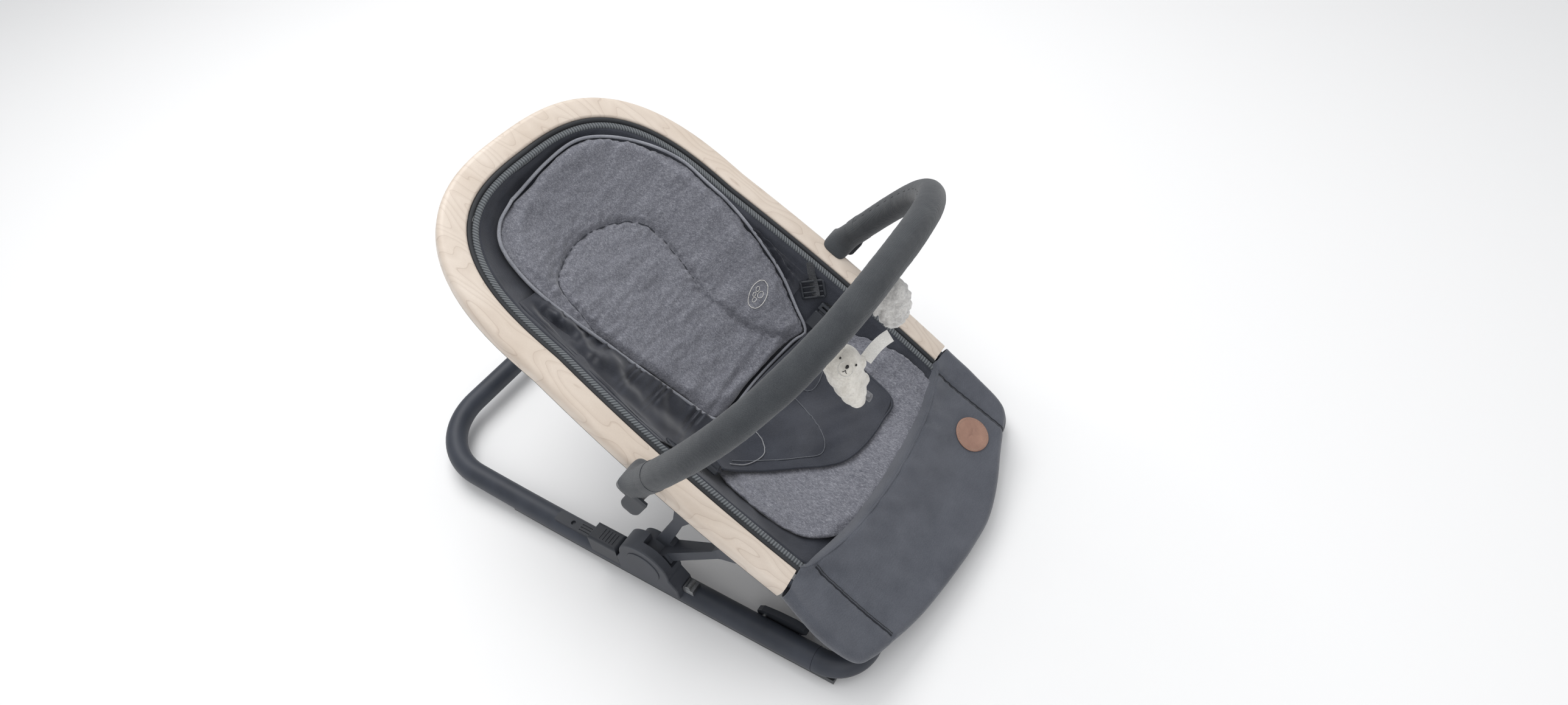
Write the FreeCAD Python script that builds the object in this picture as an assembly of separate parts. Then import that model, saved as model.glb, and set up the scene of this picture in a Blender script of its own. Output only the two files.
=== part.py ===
# Infant bouncer seat: oval wooden seat rim on a floor rocker base, with a toy bar.
# Frame: +Z up, X across the seat, +Y towards the head end, millimetres.
import FreeCAD, Part
import math
import os

V = FreeCAD.Vector
os.makedirs("parts", exist_ok=True)

# ---- driving dimensions -------------------------------------------------
Y_SHIFT = 47.0          # moves the origin under the middle of the overall length
SEAT_ANGLE = 33.5       # rim plane above the floor, degrees
RIM_Y, RIM_Z = -283.3, 120.0    # top face of the rim at its lower wood ends
RIM_HALF_FOOT = 212.5
RIM_HALF_MID = 213.9
RIM_HALF_HEAD = 205.0
RIM_SIDE = 354.7        # length of the nearly straight sides
HEAD_LEN = 237.2        # rounded head beyond the sides
HEAD_POW = 2.7
WOOD_W, WOOD_T = 31.7, 20.0
LIP_W = 4.6
BAND_W = 7.5

RAIL_X = 222.2          # rail centre line
TUBE_R = 15.0
WALL = 1.6              # tube wall
TUBE_Z = 20.0
REAR_Y = 314.6          # rear cross tube centre
FRONT_Y = -370.8        # front cross tube centre
REAR_BEND = 96.0
FRONT_BEND = 40.0
ROCK_R = 3500.0         # rocker curve of the rails
FLAT_FROM, FLAT_TO = -200.0, 0.0    # level part of the rails
JOINT_Y = -325.0        # rail tube meets the front bend here
RUNNER_W = 20.0

HUB_Y, HUB_Z = -97.0, 64.0
BOSS_R = 25.0
DOME_R = 37.0
HUB_OUT = 240.0         # outer face of the hub housings

BAR_V, BAR_H = 197.1, 10.5      # toy bar foot point on the rim
BAR_LEAN = 42.8         # forward lean of the toy bar from upright
BAR_HALF = 226.0
BAR_RISE = 256.3
BAR_POW = 2.9
PAD_R = 17.0
CORE_R = 6.0

LEAN = math.radians(BAR_LEAN)
BAR_DIR = V(0, -math.sin(LEAN), math.cos(LEAN))


# ---- small helpers ------------------------------------------------------
def save(name, shape):
    """Move to the frame origin, check and write one solid."""
    out = shape.copy()
    out.translate(V(0, Y_SHIFT, 0))
    if out.ShapeType != "Solid" and len(out.Solids) == 1:
        out = out.Solids[0]
    ok = out.isValid() and len(out.Solids) == 1
    print(name, "ok" if ok else "CHECK", len(out.Solids), round(out.Volume / 1000.0, 1))
    out.exportStep("parts/" + name + ".step")


def seat(shape):
    """Place a shape built in seat coordinates (u across, v towards the head, h above the rim)."""
    out = shape.copy()
    out.rotate(V(0, 0, 0), V(1, 0, 0), SEAT_ANGLE)
    out.translate(V(0, RIM_Y, RIM_Z))
    return out


def seat_point(u, v, h):
    a = math.radians(SEAT_ANGLE)
    y = RIM_Y + v * math.cos(a) - h * math.sin(a)
    z = RIM_Z + v * math.sin(a) + h * math.cos(a)
    return V(u, y, z)


def mirror(shape):
    return shape.mirror(V(0, 0, 0), V(1, 0, 0))


def spline(points):
    curve = Part.BSplineCurve()
    curve.interpolate(points)
    return curve.toShape()


def polygon(points):
    return Part.makePolygon(list(points) + [points[0]])


def plate_x(points, x0, x1):
    """Prism along X from a (y, z) outline."""
    face = Part.Face(polygon([V(x0, y, z) for y, z in points]))
    return face.extrude(V(x1 - x0, 0, 0))


def plate_h(points, h0, h1):
    """Prism along the seat normal from a (u, v) outline."""
    face = Part.Face(polygon([V(u, v, h0) for u, v in points]))
    return face.extrude(V(0, 0, h1 - h0))


def block(x0, y0, z0, x1, y1, z1):
    return Part.makeBox(x1 - x0, y1 - y0, z1 - z0, V(x0, y0, z0))


def rod_x(y, z, radius, x0, x1):
    return Part.makeCylinder(radius, x1 - x0, V(x0, y, z), V(1, 0, 0))


def rounded(shape, radius, pick=None):
    """Fillet the picked edges, or leave the shape as it is when the kernel cannot."""
    edges = [e for e in shape.Edges if pick is None or pick(e)]
    try:
        out = shape.makeFillet(radius, edges)
        if out.isValid() and out.Volume > 0:
            return out
    except Exception:
        pass
    return shape


def pipe(points, radius, smooth=True):
    """Round bar along a curve through the points."""
    if smooth:
        path = Part.Wire([spline(points)])
    else:
        path = Part.makePolygon(points)
    first = path.Edges[0]
    start = first.valueAt(first.FirstParameter)
    along = first.tangentAt(first.FirstParameter)
    circle = Part.Wire([Part.makeCircle(radius, start, along)])
    return path.makePipeShell([circle], True, False)


# ---- seat outline -------------------------------------------------------
def half_width(v):
    s = v / RIM_SIDE
    foot = RIM_HALF_FOOT * (1 - s) * (1 - 2 * s)
    mid = 4 * RIM_HALF_MID * s * (1 - s)
    head = RIM_HALF_HEAD * s * (2 * s - 1)
    return foot + mid + head


def half_outline(offset, start=0.0, side_steps=7, head_steps=12):
    """One half of the rim outline, foot to head, moved inwards by offset."""
    dense = []
    for i in range(61):
        v = RIM_SIDE * i / 60.0
        dense.append((half_width(v), v))
    for i in range(1, 121):
        t = math.pi / 2 * i / 120.0
        u = RIM_HALF_HEAD * math.cos(t) ** (2 / HEAD_POW)
        v = RIM_SIDE + HEAD_LEN * math.sin(t) ** (2 / HEAD_POW)
        dense.append((max(u, 0.0), v))
    moved = []
    for i, (u, v) in enumerate(dense):
        a = dense[max(i - 1, 0)]
        b = dense[min(i + 1, len(dense) - 1)]
        du, dv = b[0] - a[0], b[1] - a[1]
        if i == len(dense) - 1:
            du, dv = -1.0, 0.0
        length = math.hypot(du, dv)
        moved.append((u - offset * dv / length, v + offset * du / length))
    moved = [q for q in moved if q[0] >= -1e-6 and q[1] >= start - 1e-6]
    run = [0.0]
    for i in range(1, len(moved)):
        step = math.hypot(moved[i][0] - moved[i - 1][0], moved[i][1] - moved[i - 1][1])
        run.append(run[-1] + step)
    count = side_steps + head_steps
    picked = []
    for k in range(count + 1):
        target = run[-1] * k / count
        j = min(range(len(run)), key=lambda n: abs(run[n] - target))
        picked.append(moved[j])
    picked[-1] = (0.0, moved[-1][1])
    return picked


def full_outline(offset):
    right = half_outline(offset)
    left = [(-u, v) for u, v in right[:-1]]
    return left + right[::-1]


def ring(off_out, off_in, h0, h1):
    """U-shaped strip that follows the rim between two inward offsets."""
    outer = [V(u, v, h0) for u, v in full_outline(off_out)]
    inner = [V(u, v, h0) for u, v in full_outline(off_in)]
    edges = [spline(outer), Part.makeLine(outer[-1], inner[-1])]
    edges += [spline(inner[::-1]), Part.makeLine(inner[0], outer[0])]
    face = Part.Face(Part.Wire(Part.__sortEdges__(edges)))
    return face.extrude(V(0, 0, h1 - h0))


# ---- base ---------------------------------------------------------------
def rail_z(y):
    rise = 0.0
    if y > FLAT_TO:
        rise = (y - FLAT_TO) ** 2 / (2 * ROCK_R)
    if y < FLAT_FROM:
        rise = (FLAT_FROM - y) ** 2 / (2 * ROCK_R)
    return TUBE_Z + rise


def rail_arc(x, y0, y1, centre_y):
    """Rocker arc of one rail in its vertical plane."""
    pts = []
    for y in (y0, (y0 + y1) / 2, y1):
        lift = ROCK_R - math.sqrt(ROCK_R ** 2 - (y - centre_y) ** 2)
        pts.append(V(x, y, TUBE_Z + lift))
    return Part.Arc(pts[0], pts[1], pts[2]).toShape()


def bend(start, along, radius):
    """Quarter bend from a rail towards the middle of the seat, and its end point."""
    side = -1.0 if start.x > 0 else 1.0
    centre = start + V(side * radius, 0, 0)
    k = math.sqrt(0.5)
    mid = centre + V(-side * radius * k, 0, 0) + along * (radius * k)
    end = centre + along * radius
    return Part.Arc(start, mid, end).toShape(), end


def end_of(edge):
    return edge.valueAt(edge.LastParameter)


def half_rear():
    """Right rail from the front joint back to the middle of the rear cross tube."""
    edges = [rail_arc(RAIL_X, JOINT_Y, FLAT_FROM, FLAT_FROM)]
    edges.append(Part.makeLine(end_of(edges[-1]), V(RAIL_X, FLAT_TO, TUBE_Z)))
    turn = REAR_Y - REAR_BEND
    edges.append(rail_arc(RAIL_X, FLAT_TO, turn, FLAT_TO))
    tilt = math.asin((turn - FLAT_TO) / ROCK_R)
    corner, end = bend(end_of(edges[-1]), V(0, math.cos(tilt), math.sin(tilt)), REAR_BEND)
    edges.append(corner)
    edges.append(Part.makeLine(end, V(0, end.y, end.z)))
    return edges


def half_front():
    """Right half of the front cross tube from its joint with the rail."""
    tilt = math.asin((FLAT_FROM - JOINT_Y) / ROCK_R)
    lift = ROCK_R - math.sqrt(ROCK_R ** 2 - (JOINT_Y - FLAT_FROM) ** 2)
    along = V(0, -math.cos(tilt), math.sin(tilt))
    start = V(RAIL_X, JOINT_Y, TUBE_Z + lift) + along * 0.3
    run = (JOINT_Y - FRONT_Y - FRONT_BEND) - 0.3
    edges = [Part.makeLine(start, start + along * run)]
    corner, end = bend(start + along * run, along, FRONT_BEND)
    edges += [corner, Part.makeLine(end, V(0, end.y, end.z))]
    return edges


def swept(edges, radius):
    """Round bar along a chain of edges that starts at the first edge's first point."""
    first = edges[0]
    start = first.valueAt(first.FirstParameter)
    aim = first.tangentAt(first.FirstParameter)
    circle = Part.Wire([Part.makeCircle(radius, start, aim)])
    return Part.Wire(edges).makePipeShell([circle], True, False)


def tube_loop(half, radius, wall):
    """Both halves of a cross tube, bored along their length."""
    one = swept(half, radius)
    solid = one.fuse(mirror(one)).removeSplitter()
    bore = swept(half, radius - wall)
    return solid.cut(bore).cut(mirror(bore))


def rail_envelope(radius):
    """Rail volume on the right-hand side, used to seat parts on the tube."""
    edges = [rail_arc(RAIL_X, -420.0, FLAT_FROM, FLAT_FROM)]
    edges.append(Part.makeLine(end_of(edges[-1]), V(RAIL_X, FLAT_TO, TUBE_Z)))
    edges.append(rail_arc(RAIL_X, FLAT_TO, 240.0, FLAT_TO))
    return swept(edges, radius)


def runner():
    """Rocker strip below the right-hand rail."""
    low, high = [], []
    y = 182.0 - 35.0
    stations = []
    while y > -352.0:
        stations.append(y)
        y -= 30.0
    stations.append(-352.0)
    for y in stations:
        low.append((y, rail_z(y) - TUBE_Z))
        high.append((y, rail_z(y) - TUBE_Z + 13.0))
    body = plate_x(low + high[::-1], RAIL_X - RUNNER_W / 2, RAIL_X + RUNNER_W / 2)
    return body


def hub_housing():
    """Saddle on the rail with a hollow dome, open inwards and slotted for the arm."""
    foot = [(-144, 26), (-52, 26), (-52, 52), (-60, 64), (-132, 60), (-144, 44)]
    body = plate_x(foot, 213.0, HUB_OUT)
    dome = rod_x(HUB_Y, HUB_Z, DOME_R, 213.0, HUB_OUT)
    body = body.fuse(dome)
    body = body.removeSplitter()
    body = rounded(body, 2.0, lambda e: e.CenterOfMass.x > HUB_OUT - 0.01)
    body = body.cut(rod_x(HUB_Y, HUB_Z, BOSS_R + 1.0, 212.0, 232.0))
    slot = []
    for angle in range(90, 169, 6):
        a = math.radians(angle)
        slot.append((HUB_Y + 60 * math.cos(a), HUB_Z + 60 * math.sin(a)))
    slot.append((HUB_Y, HUB_Z))
    body = body.cut(plate_x(slot, 212.0, 228.0))
    body = body.cut(rod_x(HUB_Y, HUB_Z, 24.2, 238.6, 245.0))
    body = body.cut(rod_x(HUB_Y, HUB_Z, 5.0, 231.0, 236.0))
    return body


def slider():
    body = block(214.0, -51.5, 39.2, 239.0, -6.0, 62.0)
    nose = block(236.0, -51.5, 31.0, 239.0, -6.0, 45.0)
    body = body.fuse(nose).removeSplitter()
    top = lambda e: e.CenterOfMass.z > 61.0 or abs(e.CenterOfMass.y + 6.0) < 0.1
    body = rounded(body, 4.0, lambda e: e.CenterOfMass.z > 61.0)
    grips = []
    for i in range(5):
        grips.append(block(219.0, -44.0 + i * 5.0, 61.3, 234.0, -42.0 + i * 5.0, 63.0))
    for g in grips:
        body = body.cut(g)
    return body


def track():
    """Ribbed strip the lock slider runs on, with a screw hole at its far end."""
    body = block(216.0, -50.0, 33.0, 230.0, 64.0, 38.8)
    for i in range(3):
        x = 218.5 + i * 4.0
        body = body.cut(block(x, -50.0, 37.8, x + 1.4, 24.0, 40.0))
    hole = Part.makeCylinder(3.2, 6.0, V(223.0, 37.0, 36.0), V(0, 0, 1))
    return body.cut(hole)


def arm(angle_v, width_hub, width_rim, x0, x1):
    """Straight arm from the hub to the rim underside at seat station v."""
    tip = seat_point(0, angle_v, -WOOD_T)
    dy, dz = tip.y - HUB_Y, tip.z - HUB_Z
    length = math.hypot(dy, dz)
    ty, tz = dy / length, dz / length
    ny, nz = -tz, ty
    reach = length + 14.0
    a, b = width_hub / 2, width_rim / 2
    flare = b + 9.0
    near = 0.0
    pts = [(HUB_Y + ny * a, HUB_Z + nz * a)]
    pts.append((HUB_Y + ty * (length - 26) + ny * b, HUB_Z + tz * (length - 26) + nz * b))
    pts.append((HUB_Y + ty * reach + ny * flare, HUB_Z + tz * reach + nz * flare))
    pts.append((HUB_Y + ty * reach - ny * flare, HUB_Z + tz * reach - nz * flare))
    pts.append((HUB_Y + ty * (length - 26) - ny * b, HUB_Z + tz * (length - 26) - nz * b))
    pts.append((HUB_Y - ny * a, HUB_Z - nz * a))
    return plate_x(pts, x0, x1)


def arm_taper(angle_v, wide_x, slim_x):
    """Solid to cut away so that an arm narrows from wide_x at the hub to slim_x at the rim."""
    tip = seat_point(0, angle_v, -WOOD_T)
    dy, dz = tip.y - HUB_Y, tip.z - HUB_Z
    length = math.hypot(dy, dz)
    ty, tz = dy / length, dz / length
    normal = V(0, -tz, ty)

    def place(s, x):
        return V(x, HUB_Y + ty * s, HUB_Z + tz * s) - normal * 60.0

    far = length + 30.0
    corners = [place(38, wide_x), place(far, slim_x), place(far, 260), place(38, 260)]
    return Part.Face(polygon(corners)).extrude(normal * 120.0)


def bracket():
    """Two-armed bracket below the rim; its boss turns in the hub dome."""
    front = arm(68.0, 15.0, 12.0, 200.5, 212.0)
    front_out = arm(68.0, 14.0, 12.0, 200.5, 226.0)
    rear = arm(136.0, 18.0, 12.0, 200.5, 212.0)
    boss = rod_x(HUB_Y, HUB_Z, BOSS_R, 200.5, 231.5)
    web = []
    for angle in range(112, 156, 6):
        a = math.radians(angle)
        web.append((HUB_Y + 42 * math.cos(a), HUB_Z + 42 * math.sin(a)))
    web.append((HUB_Y, HUB_Z))
    keep = seat(block(100.0, -200.0, -400.0, 300.0, 500.0, -WOOD_T))
    upper = front_out.cut(rod_x(HUB_Y, HUB_Z, 20.0, 190.0, 240.0))
    past = seat(block(208.0, -200.0, -34.0, 300.0, 500.0, 60.0))
    upper = upper.cut(past).cut(arm_taper(68.0, 222.0, 206.0))
    body = front.fuse([rear, boss, plate_x(web, 200.5, 212.0), upper])
    body = body.common(keep).removeSplitter()
    bore = rod_x(HUB_Y, HUB_Z, 5.05, 190.0, 240.0)
    return body.cut(bore)


def stop_foot():
    """Flat swing-down foot on the inner side of the rail."""
    pts = [(-236, 13), (-250, 11), (-275, 17), (-296, 24)]
    pts += [(-303, 30), (-300, 37), (-286, 40), (-262, 38), (-242, 34), (-235, 28)]
    body = plate_x(pts, 198.5, 206.6)
    body = rounded(body, 1.5, lambda e: e.CenterOfMass.x < 198.6)
    return body.cut(rod_x(-245.0, 24.0, 3.05, 190.0, 210.0))


tube_main = tube_loop(half_rear(), TUBE_R, WALL)
tube_front = tube_loop(half_front(), TUBE_R - 0.4, WALL)
save("base_tube", tube_main)
save("front_bar", tube_front)

saddle_cut = rail_envelope(TUBE_R + 0.02)
runner_r = runner().cut(saddle_cut).cut(tube_front)
runner_r = max(runner_r.Solids, key=lambda s: s.Volume)
foot_pin = rod_x(-245.0, 24.0, 3.0, 197.5, 212.0)
foot_pin = foot_pin.cut(saddle_cut)
housing_r = hub_housing().cut(saddle_cut)
housing_r = max(housing_r.Solids, key=lambda s: s.Volume)
track_r = track().cut(saddle_cut)
track_r = max(track_r.Solids, key=lambda s: s.Volume)
slider_r = slider().cut(rail_envelope(TUBE_R + 0.5))
slider_r = max(slider_r.Solids, key=lambda s: s.Volume)
disc_r = rod_x(HUB_Y, HUB_Z, 24.0, 238.6, 241.2)
disc_r = rounded(disc_r, 0.8, lambda e: e.CenterOfMass.x > 241.0)
pin_r = rod_x(HUB_Y, HUB_Z, 5.0, 199.0, 236.0)
tab_r = block(216.0, -160.0, 33.0, 231.0, -145.0, 42.0)
tab_r = tab_r.fuse(rod_x(-152.0, 43.0, 3.5, 217.0, 230.0)).cut(saddle_cut)
tab_r = max(tab_r.Solids, key=lambda s: s.Volume)
pad_r = block(213.0, 148.2, 2.0, 231.4, 160.0, 12.0)
pad_r.translate(V(0, 0, rail_z(154.0) - TUBE_Z))
pad_r = pad_r.cut(saddle_cut)
pad_r = max(pad_r.Solids, key=lambda s: s.Volume)

pairs = [
    ("runner", runner_r),
    ("heel_pad", pad_r),
    ("hub_housing", housing_r),
    ("lock_track", track_r),
    ("lock_slider", slider_r),
    ("hub_disc", disc_r),
    ("hub_pin", pin_r),
    ("end_stop", tab_r),
    ("seat_bracket", bracket()),
    ("stop_foot", stop_foot()),
    ("foot_pin", foot_pin),
]
for name, shape in pairs:
    save(name + "_r", shape)
    save(name + "_l", mirror(shape))

# ---- wooden rim and its inner trim -------------------------------------
rim = ring(0.0, WOOD_W, -WOOD_T, 0.0)
rim = rounded(rim, 5.0, lambda e: abs(e.CenterOfMass.z) < 0.01 and e.Length > 300)
save("rim_wood", seat(rim))
save("rim_lip", seat(ring(WOOD_W + 0.3, WOOD_W + 0.3 + LIP_W, -13.0, -2.5)))
band_in = WOOD_W + 0.6 + LIP_W
save("binding_band", seat(ring(band_in, band_in + BAND_W, -11.5, -5.5)))
TUB_EDGE = band_in + BAND_W + 0.3

# ---- foot end: hidden frame and fabric apron ---------------------------
frame_half = [(196, -0.2), (197, -50), (191, -92), (166, -114), (110, -133), (50, -147)]
frame_pts = [V(-u, v, -6.0) for u, v in frame_half]
frame_pts += [V(0, -151, -6.0)]
frame_pts += [V(u, v, -6.0) for u, v in frame_half[::-1]]
foot_frame = pipe(frame_pts, 5.0)
save("foot_frame", seat(foot_frame))

rim_side = [(212.6, -0.6), (214, -35), (212, -75), (206, -105), (192, -123)]
rim_side += [(170, -133), (115, -151), (60, -163)]
seam_half = [(176, -0.6), (168, -8), (150, -15), (105, -28), (60, -34)]
outer_line = [(-u, v) for u, v in rim_side] + [(0, -168)] + rim_side[::-1]
seam_line = [(u, v) for u, v in seam_half] + [(0, -37)] + [(-u, v) for u, v in seam_half[::-1]]
apron = plate_h(outer_line + seam_line, -13.5, 3.0)
save("apron", seat(apron))

patch = Part.makeCylinder(23.5, 1.2, V(125.0, -96.0, 3.2), V(0, 0, 1))
save("leather_patch", seat(rounded(patch, 0.5, lambda e: e.CenterOfMass.z > 4.3)))


# ---- fabric tub and cushions -------------------------------------------
def sag(v, table):
    """Straight-line reading of a (station, value) table."""
    if v <= table[0][0]:
        return table[0][1]
    for (a, p), (b, q) in zip(table, table[1:]):
        if v <= b:
            return p + (q - p) * (v - a) / (b - a)
    return table[-1][1]


DEPTH = [(-30, 36), (20, 62), (80, 90), (130, 108), (170, 116)]
DEPTH += [(220, 108), (300, 92), (380, 78), (450, 66), (510, 50), (542, 34)]


def tub_half(v):
    if v < RIM_SIDE:
        base = half_width(max(v, 0.0))
        return base - TUB_EDGE
    best = 0.0
    line = half_outline(TUB_EDGE, 0.0, 30, 40)
    for (u0, v0), (u1, v1) in zip(line, line[1:]):
        if v0 <= v <= v1 and v1 > v0:
            best = u0 + (u1 - u0) * (v - v0) / (v1 - v0)
    return best


def trough(v, half, depth, top, power=2.4, count=9):
    """Points of a hanging cross-section at station v."""
    pts = []
    for i in range(count):
        s = -1.0 + 2.0 * i / (count - 1)
        s = math.copysign(abs(s) ** 0.8, s)
        h = top - depth * (1 - abs(s) ** power)
        pts.append(V(half * s, v, h))
    return pts


def crescent(v, half, depth, top, wall, lift=0.0):
    """Closed section between a hanging curve and a shallower one above it."""
    low = trough(v, half, depth, top)
    high = trough(v, half - wall * 0.9, depth - wall, top + lift)
    edges = [spline(low), Part.makeLine(low[-1], high[-1])]
    edges += [spline(high[::-1]), Part.makeLine(high[0], low[0])]
    return Part.Wire(edges)


def loft(sections):
    return Part.makeLoft(sections, True, False)


stations = [-30, -5, 20, 50, 80, 110, 140, 168, 200, 230, 260, 300, 340, 380, 420, 450, 480, 510, 538]
tub = loft([crescent(v, tub_half(v), sag(v, DEPTH), -7.0, 3.0) for v in stations])
save("seat_tub", seat(tub))

# (station, half width, gap above the tub floor, thickness)
back_plan = [(168, 102, 4, 12), (200, 120, 4, 20), (260, 132, 4, 22), (340, 136, 4, 22)]
back_plan += [(420, 132, 4, 21), (480, 114, 4, 18), (520, 78, 4, 12)]
sections = []
for v, half, gap, thick in back_plan:
    ratio = half / (tub_half(v) - 3.0)
    full = sag(v, DEPTH) - 3.0 - gap
    depth = full * (ratio ** 1.0)
    edge = -7.0 - full + depth
    sections.append(crescent(v, half, depth, edge, thick * 0.6, thick * 0.4))
save("back_cushion", seat(loft(sections)))

leg_plan = [(-26, 88), (-5, 108), (20, 122), (50, 127), (80, 128), (110, 124), (140, 112)]
sections = []
for v, half in leg_plan:
    ratio = half / (tub_half(v) - 3.0)
    full = sag(v, DEPTH) - 3.0 - 5.5
    depth = full * ratio
    edge = -7.0 - full + depth
    sections.append(crescent(v, half, depth, edge, 7.0, 3.0))
save("leg_pad", seat(loft(sections)))

crotch_plan = [(26, 38), (50, 50), (80, 76), (110, 98), (134, 100)]
sections = []
for v, half in crotch_plan:
    ratio = half / (tub_half(v) - 3.0)
    full = sag(v, DEPTH) - 25.5
    depth = full * ratio
    edge = -7.0 - full + depth
    sections.append(crescent(v, half, depth, edge, 3.0, 1.0))
save("harness_panel", seat(loft(sections)))


def strap(points, width, thick):
    """Flat webbing along points, wide along v."""
    path = Part.Wire([spline(points)])
    p0 = points[0]
    along = (points[1] - points[0]).normalize()
    wide = V(0, 1, 0)
    up = along.cross(wide).normalize()
    corners = []
    for a, b in ((-1, -1), (1, -1), (1, 1), (-1, 1)):
        corners.append(p0 + wide * (a * width / 2) + up * (b * thick / 2))
    return path.makePipeShell([polygon(corners)], True, False)


web_pts = [V(158.5, 160, -10.5), V(153.5, 157, -15.5), V(148, 153, -20.5)]
save("webbing_r", seat(strap(web_pts, 22.0, 1.6)))
save("webbing_l", seat(mirror(strap(web_pts, 22.0, 1.6))))

buckle_f = Part.makeBox(24.0, 30.0, 9.0, V(-12, -15, -4.5))
buckle_f = rounded(buckle_f, 2.5)
mouth = Part.makeBox(16.0, 24.0, 5.0, V(1.0, -12, -2.5))
buckle_f = buckle_f.cut(mouth)
tongue = Part.makeBox(13.5, 22.0, 3.8, V(2.0, -11, -1.9))
head = Part.makeBox(11.0, 30.0, 7.0, V(14.0, -15, -3.5))
head = rounded(head, 1.8)
slot = Part.makeBox(2.6, 22.8, 9.0, V(19.0, -11.4, -4.5))
buckle_m = head.fuse(tongue).removeSplitter().cut(slot)
for name, shape in (("buckle_body", buckle_f), ("buckle_clip", buckle_m)):
    right = shape.copy()
    right.rotate(V(0, 0, 0), V(0, 1, 0), -50.0)
    right.translate(V(129.0, 150.0, -42.0))
    save(name + "_r", seat(right))
    save(name + "_l", seat(mirror(right)))


# ---- toy bar ------------------------------------------------------------
BAR_FOOT = seat_point(0, BAR_V, BAR_H)


def arch(first, last, count):
    """Points on the toy bar centre line; the parameter runs 0..180 degrees."""
    pts = []
    for i in range(count + 1):
        t = math.radians(first + (last - first) * i / count)
        c, s = math.cos(t), math.sin(t)
        u = math.copysign(abs(c) ** (2 / BAR_POW), c) * BAR_HALF
        w = BAR_RISE * abs(s) ** (2 / BAR_POW)
        q = BAR_FOOT + BAR_DIR * w
        pts.append(V(u, q.y, q.z))
    return pts


def lower_leg(dist):
    """Point on the bar axis below its foot point, sliding direction."""
    q = BAR_FOOT + BAR_DIR * dist
    return V(BAR_HALF, q.y, q.z)


def arch_path(first):
    return [V(-q.x, q.y, q.z) for q in arch(first, 90, 9)] + arch(90, first, 9)[1:]


bar_line = arch(4, 176, 18)
pad = pipe(bar_line, PAD_R)
core = pipe(bar_line, CORE_R)
save("toybar_core", core)
save("toybar_pad", pad.cut(core))


def clip_block():
    """Clip around the rim's outer edge with a socket for the bar's plug."""
    body = Part.makeBox(54.0, 46.0, 34.0, V(180.0, BAR_V - 29.0, -23.0))
    body = rounded(body, 3.0, lambda e: e.CenterOfMass.z > 10.9)
    return body


rim_hole = ring(-0.3, WOOD_W + 0.3 + LIP_W + 0.3 + BAND_W + 1.0, -WOOD_T - 0.3, 0.4)
socket = clip_block().cut(rim_hole)
plug_axis_low = lower_leg(-24.0)
plug_axis_high = lower_leg(18.0)
socket_w = seat(socket)
axis = BAR_DIR
well = Part.makeCylinder(9.3, 60.0, plug_axis_low, axis)
well_r = well.copy()
collar = Part.makeCylinder(15.5, 24.0, lower_leg(-2.0), axis)
socket_w = socket_w.fuse(collar).removeSplitter()
socket_w = socket_w.cut(seat(ring(-0.3, 60.0, -WOOD_T - 0.3, 0.4)))
socket_w = socket_w.cut(well_r)
socket_w = socket_w.cut(block(237.1, -600, -300, 300, 600, 900))
socket_w = max(socket_w.Solids, key=lambda s: s.Volume)
save("bar_socket_r", socket_w)
save("bar_socket_l", mirror(socket_w))

plug = Part.makeCylinder(9.0, 34.0, lower_leg(-11.0), axis)
first_pt = arch(4, 176, 18)[0]
flange = Part.makeCylinder(17.0, 16.5, lower_leg(23.0), axis)
save("bar_plug_r", plug.fuse(flange).removeSplitter())
save("bar_plug_l", mirror(plug.fuse(flange).removeSplitter()))

lever = Part.makeBox(5.0, 26.0, 30.0, V(237.5, BAR_V - 26.0, -20.0))
lever = rounded(lever, 2.0, lambda e: e.CenterOfMass.z < 8.0)
lever = lever.fuse(Part.makeCylinder(2.5, 26.0, V(240.0, BAR_V - 26.0, 10.0), V(0, 1, 0))).removeSplitter()
save("release_tab_r", seat(lever))
save("release_tab_l", seat(mirror(lever)))


# ---- hanging toys -------------------------------------------------------
def ball(x, y, z, r):
    return Part.makeSphere(r, V(x, y, z))


def bear(x, y, z):
    body = ball(x, y, z - 26, 22)
    parts = [ball(x, y, z, 20), ball(x - 15, y, z + 15, 8), ball(x + 15, y, z + 15, 8)]
    parts += [ball(x - 20, y - 4, z - 20, 8), ball(x + 20, y - 4, z - 20, 8)]
    parts += [ball(x - 12, y - 6, z - 46, 9), ball(x + 12, y - 6, z - 46, 9)]
    parts += [ball(x, y - 14, z - 4, 10)]
    return body.fuse(parts).removeSplitter()


def rabbit(x, y, z):
    body = ball(x, y, z - 24, 19)
    parts = [ball(x, y, z, 16)]
    ear = Part.makeCylinder(4.5, 26.0, V(x - 8, y, z - 4), V(-0.45, 0.2, -1))
    ear2 = Part.makeCylinder(4.5, 26.0, V(x + 8, y, z - 4), V(0.45, 0.2, -1))
    parts += [ear, ear2, ball(x - 10, y - 5, z - 42, 7), ball(x + 10, y - 5, z - 42, 7)]
    return body.fuse(parts).removeSplitter()


def hanger(x, y, z_bar, z_low):
    """Ribbon loop around the padded bar and down to the toy."""
    loop = Part.makeCylinder(PAD_R + 2.8, 10.0, V(x - 5, y, z_bar), V(1, 0, 0))
    loop = loop.cut(Part.makeCylinder(PAD_R + 1.7, 12.0, V(x - 6, y, z_bar), V(1, 0, 0)))
    tail = block(x - 5, y - 0.8, z_low, x + 5, y + 0.8, z_bar - PAD_R - 1.9)
    return loop.fuse(tail).removeSplitter()


def bar_at(x):
    s = (1 - (abs(x) / BAR_HALF) ** BAR_POW) ** (1 / BAR_POW)
    q = BAR_FOOT + BAR_DIR * (BAR_RISE * s)
    return q.y, q.z


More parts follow.
